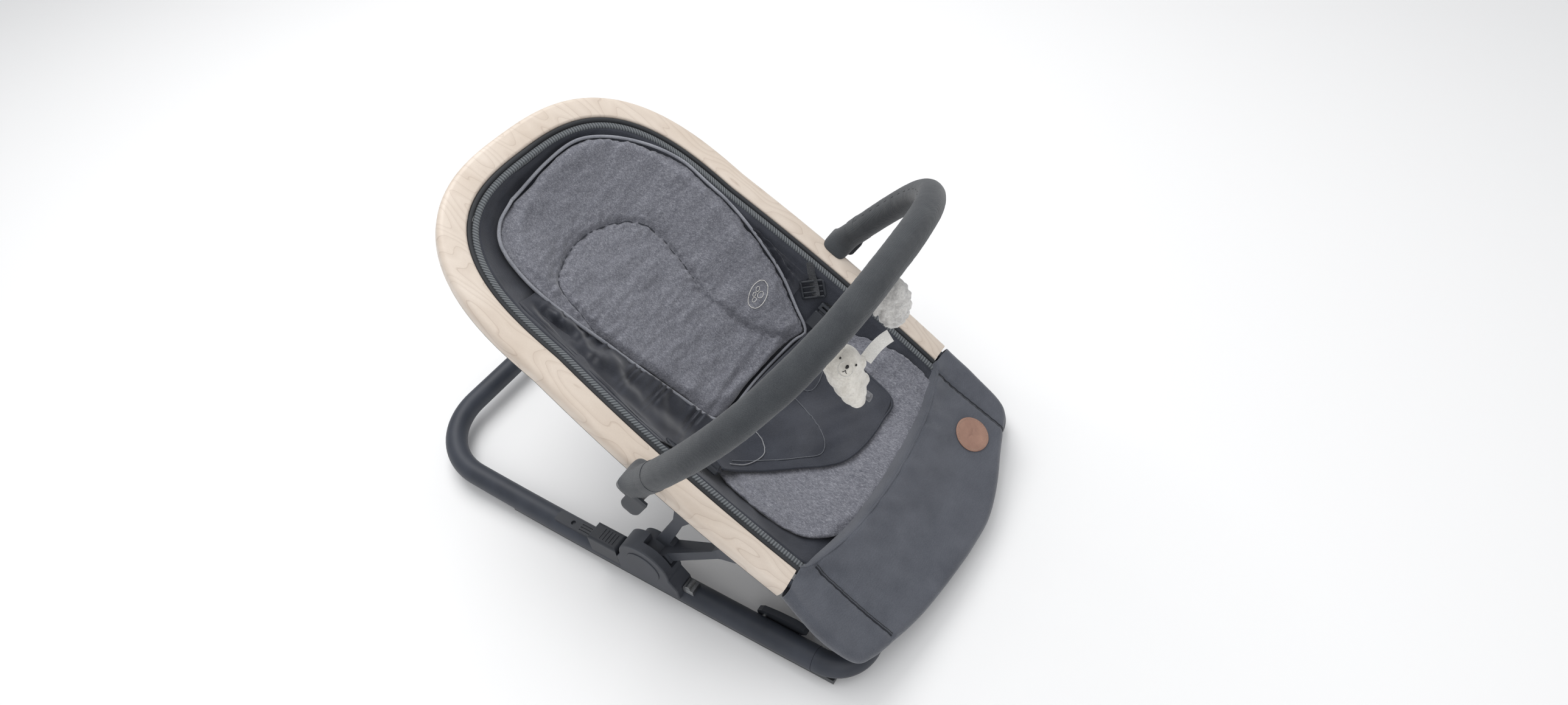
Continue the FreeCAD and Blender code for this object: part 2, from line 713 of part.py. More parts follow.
BEAR_X, RABBIT_X = -84.0, 18.0
by, bz = bar_at(BEAR_X)
ry, rz = bar_at(RABBIT_X)
save("bear_ribbon", hanger(BEAR_X, by, bz, bz - 31.0))
save("bear_toy", bear(BEAR_X, by, bz - 51.5))
save("rabbit_ribbon", hanger(RABBIT_X, ry, rz, rz - 27.0))
save("rabbit_toy", rabbit(RABBIT_X, ry, rz - 43.3))
print("bar", bar_at(0.0), "bear", by, bz, "rabbit", ry, rz, "hub", HUB_Y + Y_SHIFT, HUB_Z)
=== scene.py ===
import math

import bmesh
import bpy
import numpy as np
from mathutils import Matrix, Vector
from mathutils import noise as mnoise

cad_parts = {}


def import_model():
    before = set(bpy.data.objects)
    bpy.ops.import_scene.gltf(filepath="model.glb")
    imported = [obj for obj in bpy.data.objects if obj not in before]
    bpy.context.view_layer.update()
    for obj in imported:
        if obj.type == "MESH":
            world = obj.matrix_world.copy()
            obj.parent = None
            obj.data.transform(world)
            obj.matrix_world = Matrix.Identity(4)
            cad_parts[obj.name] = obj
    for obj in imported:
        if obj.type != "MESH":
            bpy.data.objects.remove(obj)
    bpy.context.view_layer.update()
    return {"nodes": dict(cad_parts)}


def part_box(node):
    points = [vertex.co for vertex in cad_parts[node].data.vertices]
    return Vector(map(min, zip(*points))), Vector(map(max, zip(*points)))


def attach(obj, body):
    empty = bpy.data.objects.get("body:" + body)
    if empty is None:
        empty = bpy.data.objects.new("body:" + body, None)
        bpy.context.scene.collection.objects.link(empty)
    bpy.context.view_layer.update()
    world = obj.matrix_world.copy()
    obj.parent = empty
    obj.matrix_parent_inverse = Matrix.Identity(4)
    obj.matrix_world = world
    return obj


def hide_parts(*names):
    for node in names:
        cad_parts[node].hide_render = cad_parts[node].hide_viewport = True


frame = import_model()
NODES = frame["nodes"]

# ---- the seat's own axes: u across, v towards the head, h above the rim, in mm
TILT = math.radians(33.5)
RIM_ORIGIN = np.array([0.0, -236.3, 120.0])
AX_U = np.array([1.0, 0.0, 0.0])
AX_V = np.array([0.0, math.cos(TILT), math.sin(TILT)])
AX_H = np.array([0.0, -math.sin(TILT), math.cos(TILT)])


def world(u, v, h):
    return (RIM_ORIGIN + AX_U * u + AX_V * v + AX_H * h) / 1000.0


# ---- materials -----------------------------------------------------------
def new_material(name):
    mat = bpy.data.materials.new(name)
    mat.use_nodes = True
    tree = mat.node_tree
    shader = tree.nodes["Principled BSDF"]
    return mat, tree, shader


def node(tree, kind, **values):
    n = tree.nodes.new(kind)
    for key, value in values.items():
        if key in n.inputs:
            n.inputs[key].default_value = value
        else:
            setattr(n, key, value)
    return n


def coords(tree, kind="Object", scale=(1, 1, 1), rotation=(0, 0, 0)):
    tex = node(tree, "ShaderNodeTexCoord")
    mapping = node(tree, "ShaderNodeMapping")
    mapping.inputs["Scale"].default_value = scale
    mapping.inputs["Rotation"].default_value = rotation
    tree.links.new(tex.outputs[kind], mapping.inputs["Vector"])
    return mapping.outputs["Vector"]


def noise_tex(tree, vector, scale, detail=3.0, rough=0.55, distortion=0.0):
    n = node(tree, "ShaderNodeTexNoise")
    n.inputs["Scale"].default_value = scale
    n.inputs["Detail"].default_value = detail
    n.inputs["Roughness"].default_value = rough
    n.inputs["Distortion"].default_value = distortion
    tree.links.new(vector, n.inputs["Vector"])
    return n.outputs["Fac"]


def ramp(tree, fac, stops):
    r = node(tree, "ShaderNodeValToRGB")
    e = r.color_ramp.elements
    while len(e) < len(stops):
        e.new(0.5)
    for element, (pos, col) in zip(e, stops):
        element.position = pos
        element.color = (*col, 1.0) if len(col) == 3 else col
    tree.links.new(fac, r.inputs["Fac"])
    return r.outputs["Color"]


def mix(tree, fac, a, b, mode="MIX"):
    m = node(tree, "ShaderNodeMix", data_type="RGBA", blend_type=mode)
    for value, socket in ((fac, m.inputs[0]), (a, m.inputs[6]), (b, m.inputs[7])):
        if isinstance(value, (int, float)):
            socket.default_value = value
        elif isinstance(value, tuple):
            socket.default_value = (*value, 1.0)
        else:
            tree.links.new(value, socket)
    return m.outputs[2]


def math_node(tree, op, a, b=None):
    m = node(tree, "ShaderNodeMath", operation=op)
    for i, value in enumerate((a, b)):
        if value is None:
            continue
        if isinstance(value, (int, float)):
            m.inputs[i].default_value = value
        else:
            tree.links.new(value, m.inputs[i])
    return m.outputs[0]


def weighted(tree, a, share_a, b, share_b):
    """Sum of two values, each times its share."""
    first = math_node(tree, "MULTIPLY", a, share_a)
    second = math_node(tree, "MULTIPLY", b, share_b)
    return math_node(tree, "ADD", first, second)


def surface(shader, rough, sheen=0.0, sheen_rough=0.5, specular=0.5):
    shader.inputs["Roughness"].default_value = rough
    shader.inputs["Sheen Weight"].default_value = sheen
    shader.inputs["Sheen Roughness"].default_value = sheen_rough
    shader.inputs["Specular IOR Level"].default_value = specular


def bump(tree, shader, height, strength, distance, normal=None):
    b = node(tree, "ShaderNodeBump")
    b.inputs["Strength"].default_value = strength
    b.inputs["Distance"].default_value = distance
    tree.links.new(height, b.inputs["Height"])
    if normal is not None:
        tree.links.new(normal, b.inputs["Normal"])
    tree.links.new(b.outputs["Normal"], shader.inputs["Normal"])
    return b.outputs["Normal"]


def wave(tree, vector, scale, direction="X", distortion=0.0, profile="SIN"):
    w = node(tree, "ShaderNodeTexWave", wave_type="BANDS", bands_direction=direction)
    w.wave_profile = profile
    w.inputs["Scale"].default_value = scale
    w.inputs["Distortion"].default_value = distortion
    w.inputs["Detail"].default_value = 1.0
    tree.links.new(vector, w.inputs["Vector"])
    return w.outputs["Fac"]


def srgb(r, g, b):
    out = []
    for c in (r, g, b):
        c = c / 255.0
        out.append(c / 12.92 if c <= 0.04045 else ((c + 0.055) / 1.055) ** 2.4)
    return tuple(out)


def cloth_material(name, dark, light, thread=1400.0, rough=0.9, sheen=0.25, strength=0.35):
    """Woven cloth: mottled colour, crossed threads in the bump, soft sheen."""
    mat, tree, shader = new_material(name)
    vec = coords(tree)
    broad = noise_tex(tree, vec, 28.0, 4.0)
    fine = noise_tex(tree, vec, 900.0, 2.0)
    tone = weighted(tree, broad, 0.55, fine, 0.45)
    colour = ramp(tree, tone, [(0.36, dark), (0.64, light)])
    tree.links.new(colour, shader.inputs["Base Color"])
    a = wave(tree, vec, thread / 6.28, "X", 0.6)
    b = wave(tree, coords(tree, rotation=(0.6, 0, 0)), thread / 6.28, "Y", 0.6)
    weave = math_node(tree, "ADD", a, b)
    weave = math_node(tree, "ADD", weave, math_node(tree, "MULTIPLY", fine, 0.8))
    bump(tree, shader, weave, strength, 0.0004)
    surface(shader, rough, sheen, 0.5, 0.3)
    return mat


def heather_material(name):
    """Grey melange knit: light and dark fibre flecks drawn out along one way."""
    mat, tree, shader = new_material(name)
    rot = (-TILT, 0.0, 0.35)
    flecks = noise_tex(tree, coords(tree, scale=(1.0, 0.33, 1.0), rotation=rot), 900.0, 3.0, 0.8)
    marl = noise_tex(tree, coords(tree, scale=(1.0, 0.4, 1.0), rotation=rot), 330.0, 4.0, 0.8)
    broad = noise_tex(tree, coords(tree), 24.0, 3.0)
    tone = weighted(tree, flecks, 0.6, marl, 0.4)
    dark, middle, light = srgb(78, 80, 88), srgb(118, 119, 127), srgb(166, 167, 173)
    colour = ramp(tree, tone, [(0.36, dark), (0.5, middle), (0.64, light)])
    drift = ramp(tree, broad, [(0.25, srgb(112, 113, 121)), (0.75, srgb(136, 137, 145))])
    colour = mix(tree, 0.22, colour, drift)
    tree.links.new(colour, shader.inputs["Base Color"])
    wrinkle = noise_tex(tree, coords(tree, scale=(1.0, 0.35, 1.0), rotation=rot), 45.0, 3.0, 0.6)
    first = bump(tree, shader, wrinkle, 0.35, 0.004)
    bump(tree, shader, flecks, 0.45, 0.0006, first)
    surface(shader, 0.95, 0.35, 0.4, 0.2)
    return mat


def plastic_material(name, colour, rough=0.5, grain=1500.0, strength=0.12, edge_highlight=0.12):
    """Moulded plastic: fine spark-eroded grain, faint tone drift, painted highlight lightening the convex
    edges.
    """
    mat, tree, shader = new_material(name)
    vec = coords(tree)
    broad = noise_tex(tree, vec, 14.0, 3.0)
    fine = noise_tex(tree, vec, grain, 2.0)
    lo = tuple(c * 0.86 for c in colour)
    hi = tuple(min(1.0, c * 1.16 + 0.004) for c in colour)
    tone = ramp(tree, broad, [(0.35, lo), (0.65, hi)])
    geo = node(tree, "ShaderNodeNewGeometry")
    # painted highlight: convex edges, found by pointiness, are lightened towards a paler copy of the colour
    edge = ramp(tree, geo.outputs["Pointiness"], [(0.52, (0, 0, 0)), (0.62, (edge_highlight, edge_highlight, edge_highlight))])
    tone = mix(tree, edge, tone, tuple(min(1.0, c * 2.2 + 0.02) for c in colour))
    tree.links.new(tone, shader.inputs["Base Color"])
    rough_mix = math_node(tree, "ADD", math_node(tree, "MULTIPLY", broad, 0.16), rough - 0.08)
    tree.links.new(rough_mix, shader.inputs["Roughness"])
    bump(tree, shader, fine, strength, 0.0003)
    shader.inputs["Specular IOR Level"].default_value = 0.4
    return mat


def wood_material():
    """Pale lacquered beech veneer with contour-like grain along the rim."""
    mat, tree, shader = new_material("beech_veneer")
    rot = (-TILT, 0.0, 0.0)
    low = noise_tex(tree, coords(tree, scale=(1.0, 0.16, 0.4), rotation=rot), 26.0, 1.5, 0.4, 0.2)
    rings = math_node(tree, "FRACT", math_node(tree, "MULTIPLY", low, 13.0))
    steps = ((0.0, 1), (0.07, 0.12), (0.5, 0), (1.0, 0.35))
    lines = ramp(tree, rings, [(place, (grey, grey, grey)) for place, grey in steps])
    fibre = noise_tex(tree, coords(tree, scale=(1.0, 0.05, 1.0), rotation=rot), 700.0, 3.0, 0.7)
    broad = noise_tex(tree, coords(tree, scale=(1.0, 0.3, 1.0), rotation=rot), 18.0, 3.0)
    base = ramp(tree, broad, [(0.3, srgb(221, 207, 192)), (0.7, srgb(233, 221, 208))])
    base = mix(tree, math_node(tree, "MULTIPLY", fibre, 0.28), base, srgb(188, 168, 150))
    base = mix(tree, math_node(tree, "MULTIPLY", lines, 0.42), base, srgb(158, 132, 112))
    tree.links.new(base, shader.inputs["Base Color"])
    height = weighted(tree, lines, -0.4, fibre, 0.3)
    bump(tree, shader, height, 0.15, 0.0003)
    shader.inputs["Roughness"].default_value = 0.42
    shader.inputs["Coat Weight"].default_value = 0.15
    shader.inputs["Coat Roughness"].default_value = 0.35
    return mat


def rib_material(name, dark, light, ribs, axis="X", strength=0.8):
    """Ribbed tape: ribs counted along the piece's own UV length, in metres."""
    mat, tree, shader = new_material(name)
    uv = coords(tree, "UV")
    w = wave(tree, uv, ribs / 6.283, axis)
    fine = noise_tex(tree, coords(tree), 1200.0, 2.0)
    tone = weighted(tree, w, 0.7, fine, 0.3)
    tree.links.new(ramp(tree, tone, [(0.2, dark), (0.8, light)]), shader.inputs["Base Color"])
    bump(tree, shader, tone, strength, 0.0008)
    surface(shader, 0.85, 0.15)
    return mat


def leather_material():
    mat, tree, shader = new_material("patch_leather")
    vec = coords(tree)
    broad = noise_tex(tree, vec, 60.0, 4.0)
    cell = node(tree, "ShaderNodeTexVoronoi")
    cell.inputs["Scale"].default_value = 900.0
    tree.links.new(vec, cell.inputs["Vector"])
    colour = ramp(tree, broad, [(0.3, srgb(146, 112, 98)), (0.7, srgb(168, 132, 115))])
    tree.links.new(colour, shader.inputs["Base Color"])
    bump(tree, shader, cell.outputs["Distance"], 0.35, 0.0004)
    surface(shader, 0.62)
    return mat


def plush_material(name, dark, light):
    mat, tree, shader = new_material(name)
    vec = coords(tree)
    pile = noise_tex(tree, vec, 420.0, 4.0, 0.75)
    clump = noise_tex(tree, vec, 95.0, 3.0)
    tone = weighted(tree, pile, 0.5, clump, 0.5)
    tree.links.new(ramp(tree, tone, [(0.35, dark), (0.62, light)]), shader.inputs["Base Color"])
    bump(tree, shader, tone, 0.9, 0.0016)
    surface(shader, 1.0, 0.6, 0.6, 0.1)
    return mat


def metal_material():
    mat, tree, shader = new_material("pin_steel")
    vec = coords(tree)
    fine = noise_tex(tree, vec, 600.0, 3.0)
    colour = ramp(tree, fine, [(0.3, (0.33, 0.34, 0.35)), (0.7, (0.5, 0.51, 0.52))])
    tree.links.new(colour, shader.inputs["Base Color"])
    bump(tree, shader, fine, 0.1, 0.0002)
    shader.inputs["Metallic"].default_value = 1.0
    shader.inputs["Roughness"].default_value = 0.36
    return mat


M_WOOD = wood_material()
M_FRAME = plastic_material("frame_coating", srgb(56, 60, 69), 0.5, 1500.0, 0.10)
M_RUNNER = plastic_material("runner_rubber", srgb(78, 80, 82), 0.7, 1100.0, 0.2)
M_HUB = plastic_material("hub_moulding", srgb(62, 65, 72), 0.55, 1300.0, 0.22)
M_DARK = plastic_material("dark_moulding", srgb(46, 49, 55), 0.5, 1300.0, 0.18)
M_RUBBER = plastic_material("seal_rubber", srgb(50, 52, 55), 0.75, 900.0, 0.2)
M_APRON = cloth_material("apron_cloth", srgb(78, 81, 89), srgb(94, 97, 105), 1500.0, 0.9, 0.3)
M_BAR = cloth_material("bar_cloth", srgb(58, 61, 65), srgb(74, 77, 80), 1500.0, 0.92, 0.25)
M_TUB = cloth_material("tub_satin", srgb(38, 41, 50), srgb(60, 63, 72), 1800.0, 0.55, 0.2, 0.2)
M_PANEL = cloth_material("panel_satin", srgb(40, 43, 52), srgb(58, 61, 70), 1900.0, 0.5, 0.2, 0.2)
M_HEATHER = heather_material("heather_knit")
M_BAND = rib_material("ribbed_binding", srgb(70, 74, 78), srgb(120, 124, 127), 520.0)
M_MESHWEB = cloth_material("mesh_webbing", srgb(44, 46, 50), srgb(96, 98, 102), 2600.0, 0.85, 0.15, 0.8)
M_GREYTHREAD = cloth_material("grey_thread", srgb(84, 87, 94), srgb(112, 115, 121), 4000.0, 0.8, 0.2)
# painted shadow for the cushion's arch seam groove
M_KNIT_SHADOW = cloth_material("knit_shadow", srgb(62, 64, 71), srgb(86, 88, 95), 2200.0, 0.95, 0.1)
# painted shadow for the apron's side seam grooves
M_SEAM_SHADOW = cloth_material("seam_shadow", srgb(36, 38, 43), srgb(52, 54, 60), 2500.0, 0.95, 0.1)
M_SKIRT = cloth_material("skirt_satin", srgb(34, 36, 44), srgb(54, 57, 66), 1900.0, 0.42, 0.25, 0.15)
M_PIPE = cloth_material("piping_knit", srgb(122, 124, 132), srgb(160, 162, 169), 1500.0, 0.95, 0.3)
M_WEB = rib_material("webbing", srgb(26, 28, 31), srgb(44, 46, 50), 900.0)
M_LEATHER = leather_material()
M_BEAR = plush_material("bear_plush", srgb(206, 200, 190), srgb(243, 239, 230))
M_RABBIT = plush_material("rabbit_plush", srgb(176, 174, 172), srgb(232, 230, 226))
M_RIBBON = cloth_material("ribbon_weave", srgb(206, 204, 200), srgb(238, 236, 231), 2200.0, 0.8, 0.2)
M_GREYTAG = cloth_material("grey_ribbon", srgb(120, 121, 126), srgb(156, 157, 160), 2200.0, 0.8, 0.2)
M_THREAD = cloth_material("sewing_thread", srgb(40, 42, 46), srgb(64, 66, 70), 4000.0, 0.8, 0.2)
M_PALETHREAD = cloth_material("pale_thread", srgb(150, 130, 116), srgb(190, 170, 152), 4000.0, 0.8, 0.2)
M_STEEL = metal_material()
M_EYE = plastic_material("eye_bead", srgb(26, 24, 24), 0.25, 500.0, 0.05)


# ---- mesh helpers --------------------------------------------------------
def grid_object(name, pts, material, wrap_a=False, wrap_b=False, cap=False, smooth=True):
    """Quad surface over a grid of points (metres), with UVs in metres."""
    pts = np.asarray(pts, float)
    na, nb = pts.shape[:2]
    mesh = bpy.data.meshes.new(name)
    faces = []
    uvs = []
    la = np.concatenate([[0], np.cumsum(np.linalg.norm(np.diff(pts[:, 0], axis=0), axis=1))])
    lb = np.concatenate([[0], np.cumsum(np.linalg.norm(np.diff(pts[0], axis=0), axis=1))])
    step_a = la[-1] / max(na - 1, 1)
    step_b = lb[-1] / max(nb - 1, 1)
    for i in range(na if wrap_a else na - 1):
        for j in range(nb if wrap_b else nb - 1):
            i2, j2 = (i + 1) % na, (j + 1) % nb
            faces.append((i * nb + j, i2 * nb + j, i2 * nb + j2, i * nb + j2))
            ua, ub = la[i], (la[i + 1] if i + 1 < na else la[-1] + step_a)
            va, vb = lb[j], (lb[j + 1] if j + 1 < nb else lb[-1] + step_b)
            uvs += [(ua, va), (ub, va), (ub, vb), (ua, vb)]
    if cap and wrap_b:
        faces.append(tuple(range(nb))[::-1])
        uvs += [(0, 0)] * nb
        faces.append(tuple((na - 1) * nb + j for j in range(nb)))
        uvs += [(0, 0)] * nb
    mesh.from_pydata([tuple(p) for p in pts.reshape(-1, 3)], [], faces)
    layer = mesh.uv_layers.new(name="UVMap")
    flat = np.array(uvs, float).reshape(-1)
    layer.data.foreach_set("uv", flat)
    mesh.update()
    bm = bmesh.new()
    bm.from_mesh(mesh)
    bmesh.ops.recalc_face_normals(bm, faces=bm.faces)
    bm.to_mesh(mesh)
    bm.free()
    mesh.materials.append(material)
    obj = bpy.data.objects.new(name, mesh)
    bpy.context.scene.collection.objects.link(obj)
    if smooth:
        mesh.polygons.foreach_set("use_smooth", [True] * len(mesh.polygons))
    return obj


def smooth_by_angle(obj, degrees=35.0):
    bm = bmesh.new()
    bm.from_mesh(obj.data)
    limit = math.radians(degrees)
    for f in bm.faces:
        f.smooth = True
    for e in bm.edges:
        if len(e.link_faces) == 2 and e.calc_face_angle(0.0) > limit:
            e.smooth = False
    bm.to_mesh(obj.data)
    bm.free()


def add_subsurf(obj, levels=1):
    m = obj.modifiers.new("subdivision", "SUBSURF")
    m.levels = levels
    m.render_levels = levels


def apply_modifiers(obj):
    dg = bpy.context.evaluated_depsgraph_get()
    dg.update()
    mesh = bpy.data.meshes.new_from_object(obj.evaluated_get(dg))
    old = obj.data
    obj.modifiers.clear()
    obj.data = mesh
    bpy.data.meshes.remove(old)


def unit(vector):
    return vector / np.linalg.norm(vector)


def tangents(line):
    step = np.gradient(line, axis=0)
    return step / np.linalg.norm(step, axis=1)[:, None]


def resample(points, count):
    pts = np.asarray(points, float)
    run = np.concatenate([[0], np.cumsum(np.linalg.norm(np.diff(pts, axis=0), axis=1))])
    want = np.linspace(0, run[-1], count)
    return np.stack([np.interp(want, run, pts[:, k]) for k in range(pts.shape[1])], 1)


def smooth_line(points, count):
    """Catmull-Rom curve through the points, evenly resampled."""
    p = np.asarray(points, float)
    p = np.vstack([2 * p[0] - p[1], p, 2 * p[-1] - p[-2]])
    out = []
    for i in range(1, len(p) - 2):
        for t in np.linspace(0, 1, 12, endpoint=False):
            a, b, c, d = p[i - 1], p[i], p[i + 1], p[i + 2]
            square = 2 * a - 5 * b + 4 * c - d
            cube = 3 * b - a - 3 * c + d
            out.append(0.5 * (2 * b + (c - a) * t + square * t * t + cube * t ** 3))
    out.append(p[-2])
    return resample(out, count)


def tube_object(name, line, radius, material, sides=16):
    """Round bar along world points."""
    line = np.asarray(line, float)
    tangent = tangents(line)
    ref = np.array([0.0, 0.0, 1.0]) if abs(tangent[0][2]) < 0.9 else np.array([1.0, 0, 0])
    side = unit(np.cross(tangent[0], ref))
    rings = []
    for point, t in zip(line, tangent):
        side = unit(side - t * (side @ t))
        up = np.cross(t, side)
        turns = [2 * math.pi * k / sides for k in range(sides)]
        rings.append([point + radius * (side * math.cos(a) + up * math.sin(a)) for a in turns])
    return grid_object(name, rings, material, wrap_b=True, cap=True)


def finish_piece(obj, body, replaces=()):
    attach(obj, body)
    if replaces:
        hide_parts(*replaces)
    return obj


# ---- seat outline --------------------------------------------------------
SIDE_LEN, HEAD_LEN, HEAD_POW = 354.7, 237.2, 2.7
HALF_FOOT, HALF_MID, HALF_HEAD = 212.5, 213.9, 205.0


def half_width(v):
    s = v / SIDE_LEN
    foot, middle = HALF_FOOT * (1 - s) * (1 - 2 * s), 4 * HALF_MID * s * (1 - s)
    return foot + middle + HALF_HEAD * s * (2 * s - 1)


def half_outline(offset, count=90, start=0.0):
    dense = [(half_width(v), v) for v in np.linspace(0, SIDE_LEN, 80)]
    for t in np.linspace(0, math.pi / 2, 160)[1:]:
        u = HALF_HEAD * max(math.cos(t), 0.0) ** (2 / HEAD_POW)
        dense.append((u, SIDE_LEN + HEAD_LEN * math.sin(t) ** (2 / HEAD_POW)))
    d = np.array(dense)
    g = np.gradient(d, axis=0)
    g[-1] = (-1.0, 0.0)
    g /= np.linalg.norm(g, axis=1)[:, None]
    moved = np.column_stack([d[:, 0] - offset * g[:, 1], d[:, 1] + offset * g[:, 0]])
    moved = moved[moved[:, 0] >= -1e-6]
    moved = np.vstack([moved, [0.0, moved[-1, 1]]]) if moved[-1, 0] > 0.5 else moved
    moved[-1, 0] = 0.0
    if start < 0:
        moved = np.vstack([[moved[0, 0], start], moved])
    return resample(moved, count)


def full_outline(offset, count=90, start=0.0):
    right = half_outline(offset, count, start)
    left = right[:-1] * np.array([-1.0, 1.0])
    return np.vstack([left, right[::-1]])


def swept_rim(name, profile, material, replaces=(), count=110, start=0.0):
    """Closed profile of (inward offset, h) swept round the seat outline."""
    rows = []
    lines = [full_outline(o, count, start) for o, _ in profile]
    for i in range(len(lines[0])):
        rows.append([world(line[i][0], line[i][1], h) for line, (_, h) in zip(lines, profile)])
    obj = grid_object(name, rows, material, wrap_b=True, cap=True)
    smooth_by_angle(obj, 50)
    finish_piece(obj, "seat", replaces)


def rounded_profile(x0, x1, h0, h1, radii, steps=5):
    """Rectangle with four corner radii, as a closed point list."""
    places = ((x0, h1, 180), (x1, h1, 90), (x1, h0, 0), (x0, h0, 270))
    corners = [(x, h, r, a0) for (x, h, a0), r in zip(places, radii)]
    pts = []
    for x, h, r, a0 in corners:
        cx = x + r if x == x0 else x - r
        ch = h + r if h == h0 else h - r
        for k in range(steps + 1):
            a = math.radians(a0 - 90.0 * k / steps)
            pts.append((cx + r * math.cos(a), ch + r * math.sin(a)))
    return pts


VENEER = rounded_profile(0.0, 31.7, -20.0, 0.0, (7.5, 3.0, 1.5, 4.0))
# painted shade: a thin grey band along the veneer's lower outer edge, where the rim's rounded underside is in
# shade
LOWER_SHADE_BAND = rounded_profile(1.0, 6.0, -21.4, -17.6, (0.8, 0.8, 1.4, 1.4), 3)
GASKET = rounded_profile(31.9, 37.2, -13.0, -1.6, (2.4, 2.4, 1.0, 1.0))
BINDING = rounded_profile(37.4, 45.4, -10.6, -4.2, (2.2, 2.8, 1.0, 1.0))
swept_rim("rim_wood_veneer", VENEER, M_WOOD, ["rim_wood"])
swept_rim("rim_lower_shade_band", LOWER_SHADE_BAND, M_RUNNER)
swept_rim("rim_gasket", GASKET, M_RUBBER, ["rim_lip"], start=-6.0)
swept_rim("rim_binding", BINDING, M_BAND, ["binding_band"], 150, -6.0)


# ---- hanging seat fabric -------------------------------------------------
DEPTH_V = np.array([-60, -30, 20, 80, 130, 170, 220, 300, 380, 450, 510, 545], float)
DEPTH_D = np.array([22, 36, 62, 90, 108, 116, 108, 92, 78, 64, 42, 16], float)
TUB_OFF, TUB_EDGE_H, TUB_POW, CLOTH_MM = 45.2, -7.0, 2.4, 3.0
FOLD_MM = 4.5
_tub_line = half_outline(TUB_OFF, 400)


def tub_half(v):
    if v <= SIDE_LEN:
        return half_width(max(v, 0.0)) - TUB_OFF - max(0.0, -v) * 0.35
    k = _tub_line[:, 1] > SIDE_LEN - 5
    return float(np.interp(v, _tub_line[k, 1], _tub_line[k, 0]))


def tub_depth(v):
    t = float(np.interp([v - 14, v - 7, v, v + 7, v + 14], DEPTH_V, DEPTH_D).mean())
    return CLOTH_MM + (t - CLOTH_MM) * min(1.0, max(0.0, (547.2 - v) / 12.0)) ** 0.6


def floor_h(u, v, lift=0.0):
    """Height of the tub's upper face at (u, v), raised by lift."""
    half = tub_half(v)
    s = min(abs(u) / max(half, 1.0), 1.0)
    return TUB_EDGE_H - (tub_depth(v) - CLOTH_MM) * (1 - s ** TUB_POW) + lift


def tub_point(s, v):
    """World point of the fabric at share s of the half width; the head tip closes level."""
    across = math.copysign(abs(s) ** 0.85, s)
    fold = 0.0
    if abs(s) > 0.35:
        k = min((abs(s) - 0.35) / 0.3, 1.0) * min(1.0, (1.0 - abs(s)) / 0.15)
        fold = k * FOLD_MM * mnoise.noise(Vector((v * 0.045 + s * 0.6, s * 3.4, 0.3)))
    closing = min(1.0, max(0.0, (v - 540.0) / 7.0))
    deep = tub_depth(v) - 3.4 * closing
    h = TUB_EDGE_H - deep * (1 - abs(across) ** TUB_POW) + fold * (1.0 - closing)
    return world(tub_half(v) * across, v, h)


TIP_V = float(_tub_line[-1, 1])
head_v = SIDE_LEN + (TIP_V - 0.6 - SIDE_LEN) * np.sin(np.linspace(0, math.pi / 2, 60))[1:]
tub_rows = []
for v in np.concatenate([np.linspace(-46, SIDE_LEN, 90), head_v]):
    tub_rows.append([tub_point(s, v) for s in np.linspace(-1, 1, 61)])
tub = grid_object("seat_tub_fabric", tub_rows, M_TUB)
thick = tub.modifiers.new("cloth_thickness", "SOLIDIFY")
thick.thickness = 0.0018
thick.offset = 0.0
apply_modifiers(tub)
finish_piece(tub, "seat", ["seat_tub"])


# ---- padded pieces -------------------------------------------------------
def inflate(obj, voxel=0.005, pressure=4.0, cap=0.012, frames=20):
    """Voxel remesh, cloth pressure without gravity, capped motion, one subdivision."""
    m = obj.modifiers.new("voxels", "REMESH")
    m.mode = "VOXEL"
    m.voxel_size = voxel
    apply_modifiers(obj)
    start = np.array([v.co[:] for v in obj.data.vertices])
    cloth = obj.modifiers.new("cloth", "CLOTH")
    s = cloth.settings
    s.quality = 5
    s.mass = 0.15
    s.tension_stiffness = 18
    s.compression_stiffness = 18
    s.bending_stiffness = 6.0
    s.use_pressure = True
    s.uniform_pressure_force = pressure
    s.effector_weights.gravity = 0.0
    cloth.collision_settings.use_collision = False
    cloth.point_cache.frame_start = 1
    cloth.point_cache.frame_end = frames
    for f in range(1, frames + 1):
        bpy.context.scene.frame_set(f)
    apply_modifiers(obj)
    bpy.context.scene.frame_set(1)
    end = np.array([v.co[:] for v in obj.data.vertices])
    if end.shape == start.shape:
        move = end - start
        dist = np.linalg.norm(move, axis=1)
        dist[dist < 1e-9] = 1e-9
        factor = np.minimum(dist, cap) / dist
        end = start + move * factor[:, None]
        for v, p in zip(obj.data.vertices, end):
            v.co = p
    soft = obj.modifiers.new("soften", "SMOOTH")
    soft.factor = 0.5
    soft.iterations = 4
    add_subsurf(obj, 1)
    apply_modifiers(obj)
    smooth_all(obj)


def smooth_all(obj):
    obj.data.polygons.foreach_set("use_smooth", [True] * len(obj.data.polygons))
    obj.data.update()


def shift_vertices(obj, fn):
    """Moves the vertices: fn takes and gives an array of (u, v, h), in seat millimetres."""
    new = fn(surface_arrays(obj))
    out = (RIM_ORIGIN + new[:, :1] * AX_U + new[:, 1:2] * AX_V + new[:, 2:] * AX_H) / 1000.0
    obj.data.vertices.foreach_set("co", out.reshape(-1))
    obj.data.update()


def line_distance(points, line):
    """Distance of each (u, v) point from an open polyline."""
    best = np.full(len(points), 1e9)
    for a, b in zip(line[:-1], line[1:]):
        d = b - a
        t = np.clip(((points - a) @ d) / max(d @ d, 1e-9), 0, 1)
        best = np.minimum(best, np.linalg.norm(points - (a + t[:, None] * d), axis=1))
    return best


def surface_arrays(obj):
    """(u, v, h) of every vertex, in seat millimetres."""
    co = np.array([v.co[:] for v in obj.data.vertices]) * 1000.0 - RIM_ORIGIN
    return np.stack([co @ AX_U, co @ AX_V, co @ AX_H], 1)


